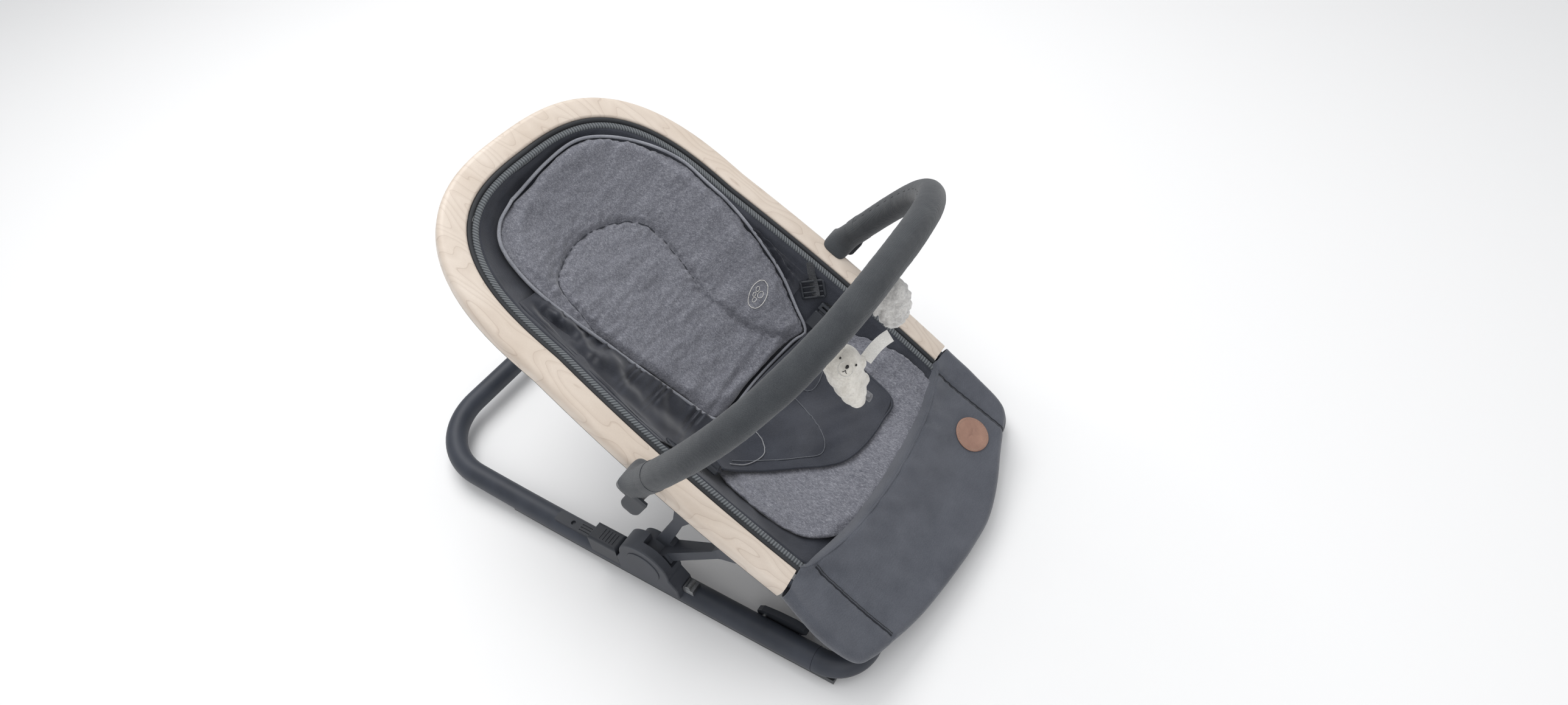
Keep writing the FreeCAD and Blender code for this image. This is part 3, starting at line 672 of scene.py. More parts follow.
def pad_mesh(name, outline, base, thick, material, crown=0.25, count=200, ready=False):
    """Closed pad over an outline in (u, v), with half-round edges and a crowned top."""
    loop = outline if ready else smooth_line(list(outline) + [outline[0]], count + 1)[:-1]
    centre = loop.mean(0)
    top, low = [], []
    for s in np.linspace(0.03, 1, 34):
        t = 1 - (1 - s) ** 2.0
        pts = centre + (loop - centre) * t
        row_t, row_l = [], []
        for (u, v), edge in zip(pts, loop):
            depth = np.linalg.norm(edge - (u, v))
            r = thick / 2
            e = math.sqrt(max(0.0, 1 - max(0.0, (r - depth) / r) ** 2))
            b = base(u, v)
            grow = 1 + crown * (1 - t * t)
            row_t.append(world(u, v, b + r + r * e * grow))
            row_l.append(world(u, v, b + r - r * e))
        top.append(row_t)
        low.append(row_l)
    return grid_object(name, np.array(top + low[::-1][1:]), material, wrap_b=True, cap=True)


def strand(name, line, radius, material, body="seat", sides=8):
    obj = tube_object(name, line, radius, material, sides)
    finish_piece(obj, body)
    return obj


def sewn(name, line, top, lift, radius, material, sides=8):
    """Thread or piping along a (u, v) line, at a lift over a surface."""
    points = [world(u, v, top(u, v) + lift) for u, v in line]
    return strand(name, points, radius, material, "seat", sides)


def noise_field(uv, x_mix, y_mix, layer):
    """Smooth noise at each (u, v); either noise axis is a mix of u and v."""
    (a, b), (c, d) = x_mix, y_mix
    return np.array([mnoise.noise(Vector((u * a + v * b, u * c + v * d, layer))) for u, v in uv])


def above(q, base, level):
    """Which points lie more than level above the pad's underside."""
    return q[:, 2] > np.array([base(u, v) for u, v in q[:, :2]]) + level


class HeightField:
    """Height of a finished piece's upper face, from its nearest vertices."""

    def __init__(self, obj, h_min):
        q = surface_arrays(obj)
        keep = q[:, 2] > h_min
        self.uv = q[keep][:, :2]
        self.h = q[keep][:, 2]

    def __call__(self, u, v):
        d = np.linalg.norm(self.uv - np.array([u, v]), axis=1)
        near = np.argsort(d)[:8]
        return float(self.h[near].max())


# back cushion, in its real butterfly outline
BACK_RAW = np.array([
    (-50, 526), (20, 535), (70, 531), (108, 508), (136, 470), (151, 426), (153, 380), (152, 317),
    (143, 240), (130, 190), (118, 156), (100, 160), (40, 164), (-30, 164), (-52, 176), (-64, 223),
    (-82, 292), (-92, 333), (-104, 380), (-113, 436), (-108, 486), (-86, 512)], float)
BACK_OUT = smooth_line(list(BACK_RAW) + [BACK_RAW[0]], 221)[:-1]


def back_base(u, v):
    """Underside of the back cushion, on the hanging fabric."""
    return floor_h(u, v, 3.5)


back = pad_mesh("back_cushion_pad", BACK_OUT, back_base, 13.0, M_HEATHER, 0.35, ready=True)
inflate(back, 0.0042, 4.0, 0.005)
WING = [(62, 281), (66, 262), (78, 206), (98, 172), (118, 152)]
ARCH = [(-84, 300), (-88, 360), (-82, 416), (-50, 438), (-12, 446), (22, 441), (51, 428), (70, 404),
        (75, 376), (70, 325)]
ARCH_LINE = smooth_line(ARCH + WING, 90)


def back_seams(q):
    q = q.copy()
    uv = q[:, :2]
    upper = above(q, back_base, 6.5)
    d = line_distance(uv, ARCH_LINE)
    groove = 5.0 * np.exp(-(d / 2.6) ** 2) + 3.2 * np.exp(-(d / 12.0) ** 2)
    wing_u = np.interp(uv[:, 1], [v for _, v in WING[::-1]], [u for u, _ in WING[::-1]])
    side = uv[:, 0] - wing_u
    low = np.clip((285 - uv[:, 1]) / 30.0, 0, 1)
    step = 5.0 * low / (1 + np.exp(-side / 1.2)) * np.exp(-np.clip(side, 0, None) / 45.0)
    quilt = noise_field(uv, (0.022, 0), (0, 0.05), 1.7) * 3.2
    quilt += noise_field(uv, (0.06, 0), (0, 0.12), 5.1) * 1.6
    pucker = noise_field(uv, (0.16, 0), (0, 0.16), 7.3) * 3.4 * np.exp(-(d / 12.0) ** 2)
    crease = 2.5 * np.exp(-((uv[:, 1] - 186 - 0.05 * uv[:, 0]) / 5.0) ** 2) * (uv[:, 0] < 80)
    q[:, 2] += np.where(upper, -groove + step + quilt + pucker - crease, 0.0)
    return q


shift_vertices(back, back_seams)
finish_piece(back, "seat", ["back_cushion"])
BACK_TOP = HeightField(back, -400.0)
# painted shadow: a dark strand sunk in the arch seam's groove, not a thread
sewn("arch_seam_shadow", ARCH_LINE[:62], BACK_TOP, -1.6, 0.0008, M_KNIT_SHADOW)


# piping round the back cushion
loop_pts = list(BACK_OUT) + [BACK_OUT[0]]
sewn("back_piping", loop_pts, floor_h, 10.5, 0.0021, M_PIPE)

# leg pad
LEG_OUT = np.array([
    (-134, 120), (-141, 79), (-141, 40), (-132, 8), (-112, -16), (-88, -32), (-40, -42), (5, -45), (70, -44),
    (128, -36), (152, -14), (158, 30), (152, 80), (140, 120), (118, 146), (60, 156), (-60, 156), (-112, 144)],
    float)


def leg_base(u, v):
    return floor_h(u, max(v, -40.0), 3.5)


leg = pad_mesh("leg_pad_cover", LEG_OUT, leg_base, 9.5, M_HEATHER, 0.2)
inflate(leg, 0.004, 3.0, 0.003)


def leg_folds(q):
    q = q.copy()
    uv = q[:, :2]
    upper = above(q, leg_base, 4.5)
    fold = noise_field(uv, (0.028, 0), (0, 0.07), 9.7) * 2.2
    fold += noise_field(uv, (0.09, 0), (0, 0.14), 2.1) * 0.8
    q[:, 2] += np.where(upper, fold, 0.0)
    return q


shift_vertices(leg, leg_folds)
finish_piece(leg, "seat", ["leg_pad"])


# harness panel: dark satin panel with a piped edge, between the legs
PANEL_FOOT = [(-129, 133), (-92, 98), (-49, 57), (-26, 32), (-4, 16), (30, 8), (70, 8), (101, 16)]
PANEL_OUT = np.array(PANEL_FOOT + [
    (108, 40), (116, 80), (128, 118), (132, 140), (118, 152), (60, 160), (0, 162), (-60, 158), (-112, 150)],
    float)


def panel_base(u, v):
    return floor_h(u, v, 19.5)


panel = pad_mesh("harness_panel_cover", PANEL_OUT, panel_base, 4.0, M_PANEL, 0.2)
smooth_all(panel)


def panel_folds(q):
    q = q.copy()
    uv = q[:, :2]
    upper = above(q, panel_base, 2.5)
    fold = noise_field(uv, (0.012, 0.03), (-0.01, 0.012), 3.3) * 5.0
    fold += noise_field(uv, (0.03, 0.05), (0, 0.02), 8.3) * 2.0
    fold *= np.clip(line_distance(uv, PANEL_LOOP) / 18.0, 0, 1)
    q[:, 2] += np.where(upper, fold, 0.0)
    return q


PANEL_LOOP = smooth_line(list(PANEL_OUT) + [PANEL_OUT[0]], 120)
shift_vertices(panel, panel_folds)
finish_piece(panel, "seat", ["harness_panel"])
PANEL_TOP = HeightField(panel, -400.0)
panel_edge = smooth_line(PANEL_FOOT + [(116, 80), (130, 135)], 120)
flap = smooth_line([(-112, 128), (-92, 110), (-62, 100), (-43, 110), (-36, 130), (-40, 158)], 60)
near = smooth_line([(-104, 128), (-72, 98), (-40, 66), (-14, 44), (14, 60), (36, 100), (48, 156)], 80)
far = smooth_line([(108, 120), (84, 104), (60, 100), (52, 120), (54, 156)], 60)
sewn("panel_piping", panel_edge, floor_h, 21.5, 0.0019, M_PANEL)
sewn("flap_piping", flap, PANEL_TOP, 0.4, 0.0007, M_GREYTAG)
sewn("panel_stitch_line", near, PANEL_TOP, 0.1, 0.0006, M_GREYTHREAD)
sewn("panel_stitch_far", far, PANEL_TOP, 0.1, 0.0006, M_GREYTHREAD)


# gathered elastic side fabric between the cushion's edge and the side of the seat
def edge_u(v, side):
    """u of the back cushion's edge on that side at station v."""
    k = BACK_OUT[:, 0] * side > 20
    e = BACK_OUT[k & (BACK_OUT[:, 1] > 150)]
    order = np.argsort(e[:, 1])
    return float(np.interp(v, e[order, 1], e[order, 0]))


def ruffle(name, side, v0, v1):
    rows = []
    for v in np.linspace(v0, v1, 300):
        fade = min(1.0, (v - v0) / 25.0, (v1 - v) / 40.0)
        inner = edge_u(v, side)
        outer = side * (tub_half(v) - 9.0)
        jit = mnoise.noise(Vector((v * 0.05, 2.0 * side, 4.4)))
        row = []
        for s in np.linspace(0, 1, 34):
            u = inner + (outer - inner) * s
            base = floor_h(u, v, 1.6) + 8.0 * (1 - s) ** 2.2
            gather = 2.2 * math.sin(v * 0.36 + 7.0 * jit) * math.exp(-s * 2.6)
            long_fold = mnoise.noise(Vector((v * 0.016 + s * 1.1, v * 0.012 - s * 2.2, 7.7 + side)))
            mid_fold = mnoise.noise(Vector((v * 0.05 + s * 2.4, s * 3.0, 1.3 + side)))
            swell = math.sin(math.pi * min(1.0, s + 0.12)) if s < 0.88 else max(0.0, 1 - s) * 3.0
            folds = (15.0 * long_fold + 6.0 * mid_fold + 5.0) * swell
            row.append(world(u, v, base + fade * (gather + folds)))
        rows.append(row)
    obj = grid_object(name, rows, M_SKIRT)
    m = obj.modifiers.new("thick", "SOLIDIFY")
    m.thickness = 0.0012
    apply_modifiers(obj)
    smooth_all(obj)
    finish_piece(obj, "seat")
    return obj


skirt_l = ruffle("gathered_side_l", -1, 160, 430)
skirt_r = ruffle("gathered_side_r", 1, 200, 330)


# ---- webbing -------------------------------------------------------------
def ribbon_strip(name, line, wides, width, thick, material, body, replaces=()):
    """Flat strap: world points with a width direction for each."""
    line = np.asarray(line, float)
    rows = []
    for p, t, w in zip(line, tangents(line), wides):
        w = np.asarray(w, float)
        w = unit(w - t * (w @ t))
        n = np.cross(t, w)
        rows.append([p + w * a + n * b for a, b in rounded_rect(width / 2, thick / 2, thick * 0.4)])
    obj = grid_object(name, rows, material, wrap_b=True, cap=True)
    smooth_by_angle(obj, 50)
    finish_piece(obj, body, replaces)
    return obj


def rounded_rect(hx, hy, r, steps=3):
    pts = []
    x, y = hx - r, hy - r
    for cx, cy, a0 in ((x, y, 0), (-x, y, 90), (-x, -y, 180), (x, -y, 270)):
        for k in range(steps + 1):
            a = math.radians(a0 + 90 * k / steps)
            pts.append((cx + r * math.cos(a), cy + r * math.sin(a)))
    return pts


def box_corners(name):
    lo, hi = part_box(name)
    return np.array(lo), np.array(hi)


for side, tag in ((-1, "l"), (1, "r")):
    pts = smooth_line([(162, 161.2, -18.5), (159.6, 159.6, -22), (156, 157, -27), (151, 153, -33)], 16)
    line = [world(side * u, v, h) for u, v, h in pts]
    ribbon_strip("buckle_web_" + tag, line, [AX_V] * 16, 0.022, 0.0018, M_WEB, "clip_" + tag,
                 ["webbing_" + tag])


def side_strap(tag, side, path):
    line = [world(side * u, v, h) for u, v, h in smooth_line(path, 26)]
    wide = AX_V * 0.8 + AX_U * 0.25 * side
    ribbon_strip("side_strap_" + tag, line, [wide] * 26, 0.024, 0.0016, M_MESHWEB, "seat")


side_strap("l", -1, [(166, 214, -11), (160, 204, -20), (154, 192, -29), (148, 180, -38), (141, 168, -46)])
side_strap("r", 1, [(166, 216, -10), (161, 205, -17), (156, 192, -24), (151, 180, -33)])
LADDER_X, LADDER_Y = 15, 11
LADDER_BARS = [((-LADDER_X, y), (LADDER_X, y)) for y in (-LADDER_Y, -3.5, 4, LADDER_Y)]
LADDER_BARS += [((x, -LADDER_Y), (x, LADDER_Y)) for x in (-LADDER_X, LADDER_X)]
for side, tag in ((1, "r"), (-1, "l")):
    # ladder-lock: a frame with two cross bars on the side strap
    origin = world(side * 154.5, 186.0, -26.5)
    a1 = AX_V * 0.95 - AX_U * 0.05 * side
    a2 = world(side * 148, 172, -38) - world(side * 160, 200, -17)
    a2 = unit(a2)
    a1 = unit(a1 - a2 * (a1 @ a2))
    a3 = np.cross(a1, a2)
    if a3[2] < 0:
        a3 = -a3
    for k, (c0, c1) in enumerate(LADDER_BARS):
        pts = []
        for t in np.linspace(-0.02, 1.02, 8):
            x, y = c0[0] + (c1[0] - c0[0]) * t, c0[1] + (c1[1] - c0[1]) * t
            pts.append(origin + (a1 * x + a2 * y + a3 * 2.6) / 1000.0)
        strand("ladder_%s_%d" % (tag, k), pts, 0.0019 if k in (0, 3, 4, 5) else 0.0015, M_DARK, "seat",
               10)

# sewn mark on the insert: a plain ring with petals
mark_c = np.array([104.0, 236.0])
mark_a = np.array([math.cos(0.5), math.sin(0.5)])
mark_b = np.array([-mark_a[1], mark_a[0]])


def mark_oval(centre, a_half, b_half, count):
    turns = np.linspace(0, 2 * math.pi, count)
    return [centre + mark_a * a_half * math.cos(a) + mark_b * b_half * math.sin(a) for a in turns]


def mark_thread(name, line, radius):
    sewn(name, line, BACK_TOP, 0.1, radius, M_RIBBON, 6)


mark_thread("sewn_mark_ring", mark_oval(mark_c, 16.0, 11.0, 60), 0.0005)
for k, (dx, dy, r) in enumerate([(-6, 2.5, 2.8), (0, 4.5, 2.4), (6, 2.5, 2.8), (0, -3.0, 4.0)]):
    centre = mark_c + mark_a * dx + mark_b * dy
    mark_thread("sewn_mark_petal_%d" % k, mark_oval(centre, r, r * 0.8, 24), 0.0004)


# ---- apron ---------------------------------------------------------------
APRON_OUT = np.array([
    (-213, -4), (-218, -30), (-222, -58), (-222, -84), (-216, -113), (-200, -125), (-177, -134),
    (-117, -152), (-39, -164), (2, -168), (43, -168), (90, -157), (140, -138), (170, -127), (188, -120),
    (198, -104), (203, -63), (209, -4)], float)
APRON_EDGE = smooth_line(APRON_OUT, 320)
HEM_R = 8.6


SEAM_HALF = [(176, -0.6), (168, -8), (150, -15), (105, -28), (60, -34)]
SEAM_IN = smooth_line([(-u, v) for u, v in SEAM_HALF] + [(0, -37)] + SEAM_HALF[::-1], 320)


def apron_surface():
    """Fabric cover over the foot frame: inner wall, top, rounded outer edge, underside."""
    rows = []
    for a, b in zip(SEAM_IN, APRON_EDGE):
        run = b - a
        length = np.linalg.norm(run)
        d = run / max(length, 1e-6)
        wall = a - d * 6.0
        row = [world(wall[0], wall[1], min(floor_h(wall[0], max(wall[1], -46)), -9.0) + 1.0)]
        for inset, h in ((-3.0, -8.0), (-0.6, -2.0), (0.8, 0.6)):
            row.append(world(a[0] + d[0] * inset, a[1] + d[1] * inset, h))
        reach = max(length - 9.0, 2.0)
        for s in np.linspace(0.03, 1.0, 26):
            q = a + d * (1.0 + (reach - 1.0) * s)
            sag_in = -5.0 * math.sin(math.pi * s) ** 1.3 * min(1.0, length / 110.0)
            wave_h = 1.3 * mnoise.noise(Vector((q[0] * 0.018, q[1] * 0.03, 2.2))) * math.sin(math.pi * s)
            row.append(world(q[0], q[1], 1.0 + 2.0 * s ** 3 + sag_in + wave_h))
        q = a + d * reach
        for ang in np.linspace(10, 170, 10):
            r = math.radians(ang)
            u, v = q[0] + d[0] * HEM_R * math.sin(r), q[1] + d[1] * HEM_R * math.sin(r)
            row.append(world(u, v, -5.5 + HEM_R * math.cos(r)))
        for s in np.linspace(0.06, 0.3, 4):
            q2 = q - d * min(length * s, 26.0)
            row.append(world(q2[0], q2[1], -13.8))
        rows.append(row)
    return rows


apron = grid_object("apron_cover", apron_surface(), M_APRON)
m = apron.modifiers.new("thick", "SOLIDIFY")
m.thickness = 0.0016
m.offset = 1.0
apply_modifiers(apron)


def apron_shape(q):
    """Side seams pulled in, with small puckers along them and along the edge."""
    q = q.copy()
    uv = q[:, :2]
    near = smooth_line([(-163, -14), (-166, -60), (-168, -100), (-169, -136)], 30)
    far = smooth_line([(165, -12), (167, -60), (166, -96), (164, -132)], 30)
    for line in (near, far):
        d = line_distance(uv, line)
        q[:, 2] -= 1.8 * np.exp(-(d / 2.6) ** 2) * (q[:, 2] > -6)
        q[:, 2] += 0.7 * np.sin(uv[:, 1] * 0.55) * np.exp(-(d / 9.0) ** 2) * (q[:, 2] > -6)
    d = line_distance(uv, SEAM_IN)
    fold = noise_field(uv, (0.05, 0.03), (0, 0.02), 6.6)
    q[:, 2] += 3.0 * fold * np.exp(-((d - 12.0) / 16.0) ** 2) * (q[:, 2] > -6)
    broad = noise_field(uv, (0.012, 0), (0, 0.02), 1.6)
    q[:, 2] += 2.4 * broad * np.clip(d / 20.0, 0, 1) * (q[:, 2] > -6)
    return q


shift_vertices(apron, apron_shape)
add_subsurf(apron, 1)
apply_modifiers(apron)
smooth_all(apron)
finish_piece(apron, "seat", ["apron"])
strand("apron_top_seam", [world(u, v, 1.4) for u, v in SEAM_IN], 0.0011, M_APRON)


APRON_TOP = HeightField(apron, -8.0)
SIDE_SEAMS = {"near": [(-163, -15), (-165.5, -60), (-167, -100), (-168, -130)],
              "far": [(165, -13), (167, -60), (166, -96), (164, -128)]}
# the first line of each seam is a dark strand of painted shadow in the seam's groove; the second is the
# stitch thread
SEAM_LINES = [(0.0, -0.5, 0.0012, M_SEAM_SHADOW), (2.6, -0.35, 0.0006, M_THREAD)]
for tag, ends in SIDE_SEAMS.items():
    for k, (off, lift, radius, material) in enumerate(SEAM_LINES):
        pts = smooth_line([(u + off * (1 if u < 0 else -1), v) for u, v in ends], 60)
        sewn("apron_seam_%s_%d" % (tag, k), pts, APRON_TOP, lift, radius, material)

# leather patch with a pressed generic mark, sewn round its edge
patch_c = np.array([125.0, -94.0])
rows = []
for r in [0.2, 4, 8, 12, 16, 19, 21, 22.4, 23.3, 23.6, 23.3, 22.6]:
    row = []
    for k in range(72):
        a = 2 * math.pi * k / 72
        u, v = patch_c + r * np.array([math.cos(a), math.sin(a)])
        press = 0.0
        local = np.array([u, v]) - patch_c
        for ring_c, ring_r in (((0.0, 3.5), 4.6), ((0.0, -5.0), 7.4)):
            dist = abs(np.linalg.norm(local - np.array(ring_c)) - ring_r)
            press -= 0.45 * math.exp(-(dist / 0.9) ** 2)
        edge = {23.3: 1.3, 23.6: 0.8, 22.6: 0.2}.get(r, 1.6) if r > 22.5 else 1.6
        row.append(world(u, v, APRON_TOP(u, v) + edge + press))
    rows.append(row)
rim_h = APRON_TOP(patch_c[0], patch_c[1]) + 0.3
turns = [2 * math.pi * k / 72 for k in range(72)]
rows[-2] = [world(patch_c[0] + 23.6 * math.cos(a), patch_c[1] + 23.6 * math.sin(a), rim_h) for a in turns]
patch = grid_object("round_patch", rows, M_LEATHER, wrap_b=True)
finish_piece(patch, "seat", ["leather_patch"])
for k in range(40):
    a0 = 2 * math.pi * k / 40
    pts = []
    for t in np.linspace(0, 1, 5):
        a = a0 + t * 0.09
        u, v = patch_c + 21.0 * np.array([math.cos(a), math.sin(a)])
        pts.append(world(u, v, APRON_TOP(u, v) + 1.45 + 0.35 * math.sin(math.pi * t)))
    strand("patch_stitch_%02d" % k, pts, 0.00028, M_PALETHREAD, sides=5)


# ---- toy bar -------------------------------------------------------------
BAR_HALF, BAR_RISE, BAR_POW, LEAN = 226.0, 256.3, 2.9, math.radians(42.8)
BAR_FOOT = (RIM_ORIGIN + AX_V * 197.1 + AX_H * 10.5)
BAR_DIR = np.array([0.0, -math.sin(LEAN), math.cos(LEAN)])


def bar_line(first, last, count):
    pts = []
    for t in np.radians(np.linspace(first, last, 400)):
        c, s = math.cos(t), math.sin(t)
        q = BAR_FOOT + BAR_DIR * (BAR_RISE * abs(s) ** (2 / BAR_POW))
        pts.append([math.copysign(abs(c) ** (2 / BAR_POW), c) * BAR_HALF, q[1], q[2]])
    return resample(np.array(pts) / 1000.0, count)


arch_line = bar_line(4, 176, 400)
low_r = (BAR_FOOT + BAR_DIR * 24.0) / 1000.0
ends = [np.array([side * BAR_HALF / 1000.0, low_r[1], low_r[2]]) for side in (1, -1)]
line = resample(np.vstack([ends[0], arch_line, ends[1]]), 260)
SLEEVE_R, SLEEVE_SEAM = 16.7, 4.3
nrm = np.cross([1.0, 0.0, 0.0], BAR_DIR)
rows = []
for i, (p, t) in enumerate(zip(line, tangents(line))):
    side = unit(np.cross(t, nrm))
    end = min(i, 259 - i)
    shrink = 1.0 - 0.04 * math.exp(-end / 1.2)
    row = []
    for k in range(40):
        a = 2 * math.pi * k / 40
        r = SLEEVE_R * shrink
        wr = mnoise.noise(Vector((p[0] * 22 + 3, p[2] * 22, a * 0.9)))
        fine = mnoise.noise(Vector((i * 0.55, math.cos(a) * 1.3, math.sin(a) * 1.3)))
        r += 0.55 * wr + 0.28 * fine
        r -= 0.9 * math.exp(-((a - SLEEVE_SEAM) / 0.07) ** 2)
        r -= 0.35 * math.exp(-((a - SLEEVE_SEAM) / 0.3) ** 2)
        row.append(p + (side * math.cos(a) + nrm * math.sin(a)) * r / 1000.0)
    rows.append(row)
pad = grid_object("toybar_sleeve", rows, M_BAR, wrap_b=True, cap=True)
finish_piece(pad, "toybar", ["toybar_pad"])
for i in range(6, 252, 6):
    c = np.mean(rows[i + 1], axis=0)
    pts = [c + (rows[k][27] - c) * 1.012 for k in (i, i + 1, i + 2)]
    strand("bar_stitch_%03d" % i, pts, 0.0003, M_THREAD, "toybar", 5)


def superellipse(cu, cv, au, av, n, count=48):
    pts = []
    for k in range(count):
        a = 2 * math.pi * k / count
        x, y = (math.copysign(abs(part) ** (2 / n), part) for part in (math.cos(a), math.sin(a)))
        pts.append((cu + au * x, cv + av * y))
    return pts


# cuff that clips over the rim's edge and takes the bar:
# (height, inner u, outer u, half length, squareness)
CUFF = [
    (32.8, 213.0, 239.0, 13.0, 2), (33.2, 210.0, 242.0, 16.0, 2), (26.0, 209.6, 242.5, 16.5, 2),
    (16.0, 208.6, 242.8, 16.7, 2.1), (9.0, 204.0, 243.0, 17.4, 2.4), (5.0, 200.0, 243.0, 17.8, 2.8),
    (2.2, 198.4, 242.8, 18.0, 3.4), (0.5, 198.0, 242.6, 18.0, 3.8), (0.4, 205.0, 242.0, 17.9, 4),
    (0.2, 213.8, 241.5, 17.8, 4), (-4.0, 213.9, 239.5, 17.6, 4), (-8.0, 213.9, 237.2, 17.2, 4),
    (-18.5, 213.9, 236.4, 16.6, 4), (-21.4, 215.4, 234.8, 15.0, 3.5), (-22.0, 219.0, 231.0, 10.0, 3)]
BAR_V, BAR_H, BAR_SLOPE = 197.1, 10.5, 0.164
for side, tag in ((-1, "l"), (1, "r")):
    rows = []
    for h, u0, u1, av, n in CUFF:
        cv = BAR_V - (max(h, 0) - BAR_H) * BAR_SLOPE - 0.25 * min(h, 0) * BAR_SLOPE
        oval = superellipse((u0 + u1) / 2, cv, (u1 - u0) / 2, av, n)
        rows.append([world(side * u, v, h) for u, v in oval])
    cuff = grid_object("bar_cuff_" + tag, rows, M_BAR, wrap_b=True, cap=True)
    smooth_by_angle(cuff, 45)
    finish_piece(cuff, "seat", ["bar_socket_" + tag])
    rows = []
    for t in np.linspace(0, 1, 26):
        h = 11.5 - 42.0 * t
        w = 12.5 * math.sqrt(max(0.02, 1 - max(0.0, (t - 0.70) / 0.30) ** 2)) * (0.9 + 0.1 * min(1, t * 6))
        out = 2.6 * t * t
        tip = math.sqrt(max(0.05, 1 - max(0.0, (t - 0.9) / 0.1) ** 2))
        thick_t = 2.4 * tip * (0.55 + 0.45 * min(1, t * 8))
        row = []
        for a, b in rounded_rect(w, thick_t, min(thick_t, w) * 0.75, 4):
            row.append(world(side * (240.2 + out + b), 187.0 + a, h))
        rows.append(row)
    tab = grid_object("release_tongue_" + tag, rows, M_DARK, wrap_b=True, cap=True)
    smooth_by_angle(tab, 50)
    finish_piece(tab, "tab_" + tag, ["release_tab_" + tag])


# ---- toys ----------------------------------------------------------------
def plush(name, blobs, material, body, node_name, voxel=0.0016, fuzz=0.0006):
    """Ellipsoid lumps fused by voxels, smoothed, with a short uneven pile."""
    bm = bmesh.new()
    for centre, radii in blobs:
        mat = Matrix.Translation(Vector(centre)) @ Matrix.Diagonal((*radii, 1.0))
        bmesh.ops.create_icosphere(bm, subdivisions=4, radius=1.0, matrix=mat)
    mesh = bpy.data.meshes.new(name)
    bm.to_mesh(mesh)
    bm.free()
    mesh.materials.append(material)
    obj = bpy.data.objects.new(name, mesh)
    bpy.context.scene.collection.objects.link(obj)
    m = obj.modifiers.new("voxels", "REMESH")
    m.mode = "VOXEL"
    m.voxel_size = voxel
    s = obj.modifiers.new("soften", "SMOOTH")
    s.factor = 0.6
    s.iterations = 7
    apply_modifiers(obj)
    normals = [v.normal.copy() for v in obj.data.vertices]
    for v, n in zip(obj.data.vertices, normals):
        f = mnoise.noise(v.co * 900.0) * 0.6 + mnoise.noise(v.co * 350.0) * 0.6
        v.co += n * fuzz * f
    smooth_all(obj)
    obj.data.materials.clear()
    obj.data.materials.append(material)
    finish_piece(obj, body, node_name)
    return obj


def mm(*values):
    return tuple(x / 1000.0 for x in values)


lo, hi = box_corners("bear_toy")
bx, byy, bz = (lo[0] + hi[0]) / 2, hi[1] - 0.022, hi[2] - 0.023


def at(x, y, z, dx, dy, dz):
    return (x + dx / 1000.0, y + dy / 1000.0, z + dz / 1000.0)


HEAD = np.array([bx, byy, bz])
FACE_F = np.array([-0.45, -0.62, 0.64])
FACE_F /= np.linalg.norm(FACE_F)
FACE_U = np.array([0.80, -0.04, 0.60])
FACE_U -= FACE_F * (FACE_U @ FACE_F)
FACE_U /= np.linalg.norm(FACE_U)
FACE_R = np.cross(FACE_F, FACE_U) * -1.0


def face(r, u, f):
    return tuple(HEAD + (FACE_R * r + FACE_U * u + FACE_F * f) / 1000.0)


bear_blobs = [(tuple(HEAD), mm(20, 19, 18))]
BEAR_BODY = [((0, -3, -10), (20, 18, 18)), ((0, -8, -22), (18.5, 16, 17)), ((-2, -13, -33), (14, 13, 13)),
             ((-3, -17, -41), (9, 9, 9))]
bear_blobs += [(at(bx, byy, bz, *place), mm(*radii)) for place, radii in BEAR_BODY]
bear_blobs += [(face(16.5, 7, 2), mm(6.5, 6.5, 7.5)), (face(-16.5, 7, 2), mm(6.5, 6.5, 7.5)),
               (face(0, -5, 12), mm(8.5, 8.5, 8))]
bear_blobs += [(at(bx, byy, bz, 12, -16, -27), mm(7, 7, 8)), (at(bx, byy, bz, -15, -10, -20), mm(7, 7, 8))]
bear = plush("toy_bear_body", bear_blobs, M_BEAR, "bear", ["bear_toy"], 0.0013, 0.00035)
lo, hi = box_corners("rabbit_toy")
rx, ryy, rz = (lo[0] + hi[0]) / 2, hi[1] - 0.019, hi[2] - 0.016
rabbit_blobs = [(at(rx, ryy, rz, 0, 0, 0), mm(15, 14, 15)), (at(rx, ryy, rz, 0, 0, -22), mm(17, 14.5, 21)),
                (at(rx, ryy, rz, 0, 12, -3), mm(8, 7, 6.5))]
for i in range(9):
    for j in range(10):
        polar = math.pi * (i + 0.7) / 9.6
        turn = 2 * math.pi * (j + 0.5 * (i % 2)) / 10
        big = 0.5 + 0.5 * math.sin(polar)
        x = 17.0 * math.sin(polar) * math.cos(turn)
        y = 14.5 * math.sin(polar) * math.sin(turn) - 1.0
        tuft = at(rx, ryy, rz, x, y, -17.0 + 27.0 * math.cos(polar))
        rabbit_blobs.append((tuft, mm(4.6 * big + 0.8, 4.0 * big + 0.6, 3.6 * big + 0.8)))
for s in (-1, 1):
    for k in range(6):
        t = k / 5.0
        ear = at(rx, ryy, rz, s * (11 + 9.5 * t), 4 + 4.5 * t, 6 - 22 * t)
        rabbit_blobs.append((ear, mm(4.8, 3.0, 5.0)))
rabbit = plush("toy_rabbit_body", rabbit_blobs, M_RABBIT, "rabbit", ["rabbit_toy"],
               0.0013, 0.0004)


def bead(name, centre, radii, material, body):
    """Slightly domed bead with a flattened back."""
    rows = []
    for t in np.linspace(0.08, math.pi - 0.08, 9):
        row = []
        y = math.cos(t)
        dome = y if y < 0.2 else 0.2 + (y - 0.2) * 0.4
        for k in range(14):
            a = 2 * math.pi * k / 14
            row.append((centre[0] + radii[0] * math.sin(t) * math.cos(a), centre[1] + radii[1] * dome,
                        centre[2] + radii[2] * math.sin(t) * math.sin(a)))
        rows.append(row)
    obj = grid_object(name, rows, material, wrap_b=True, cap=True)
    finish_piece(obj, body)


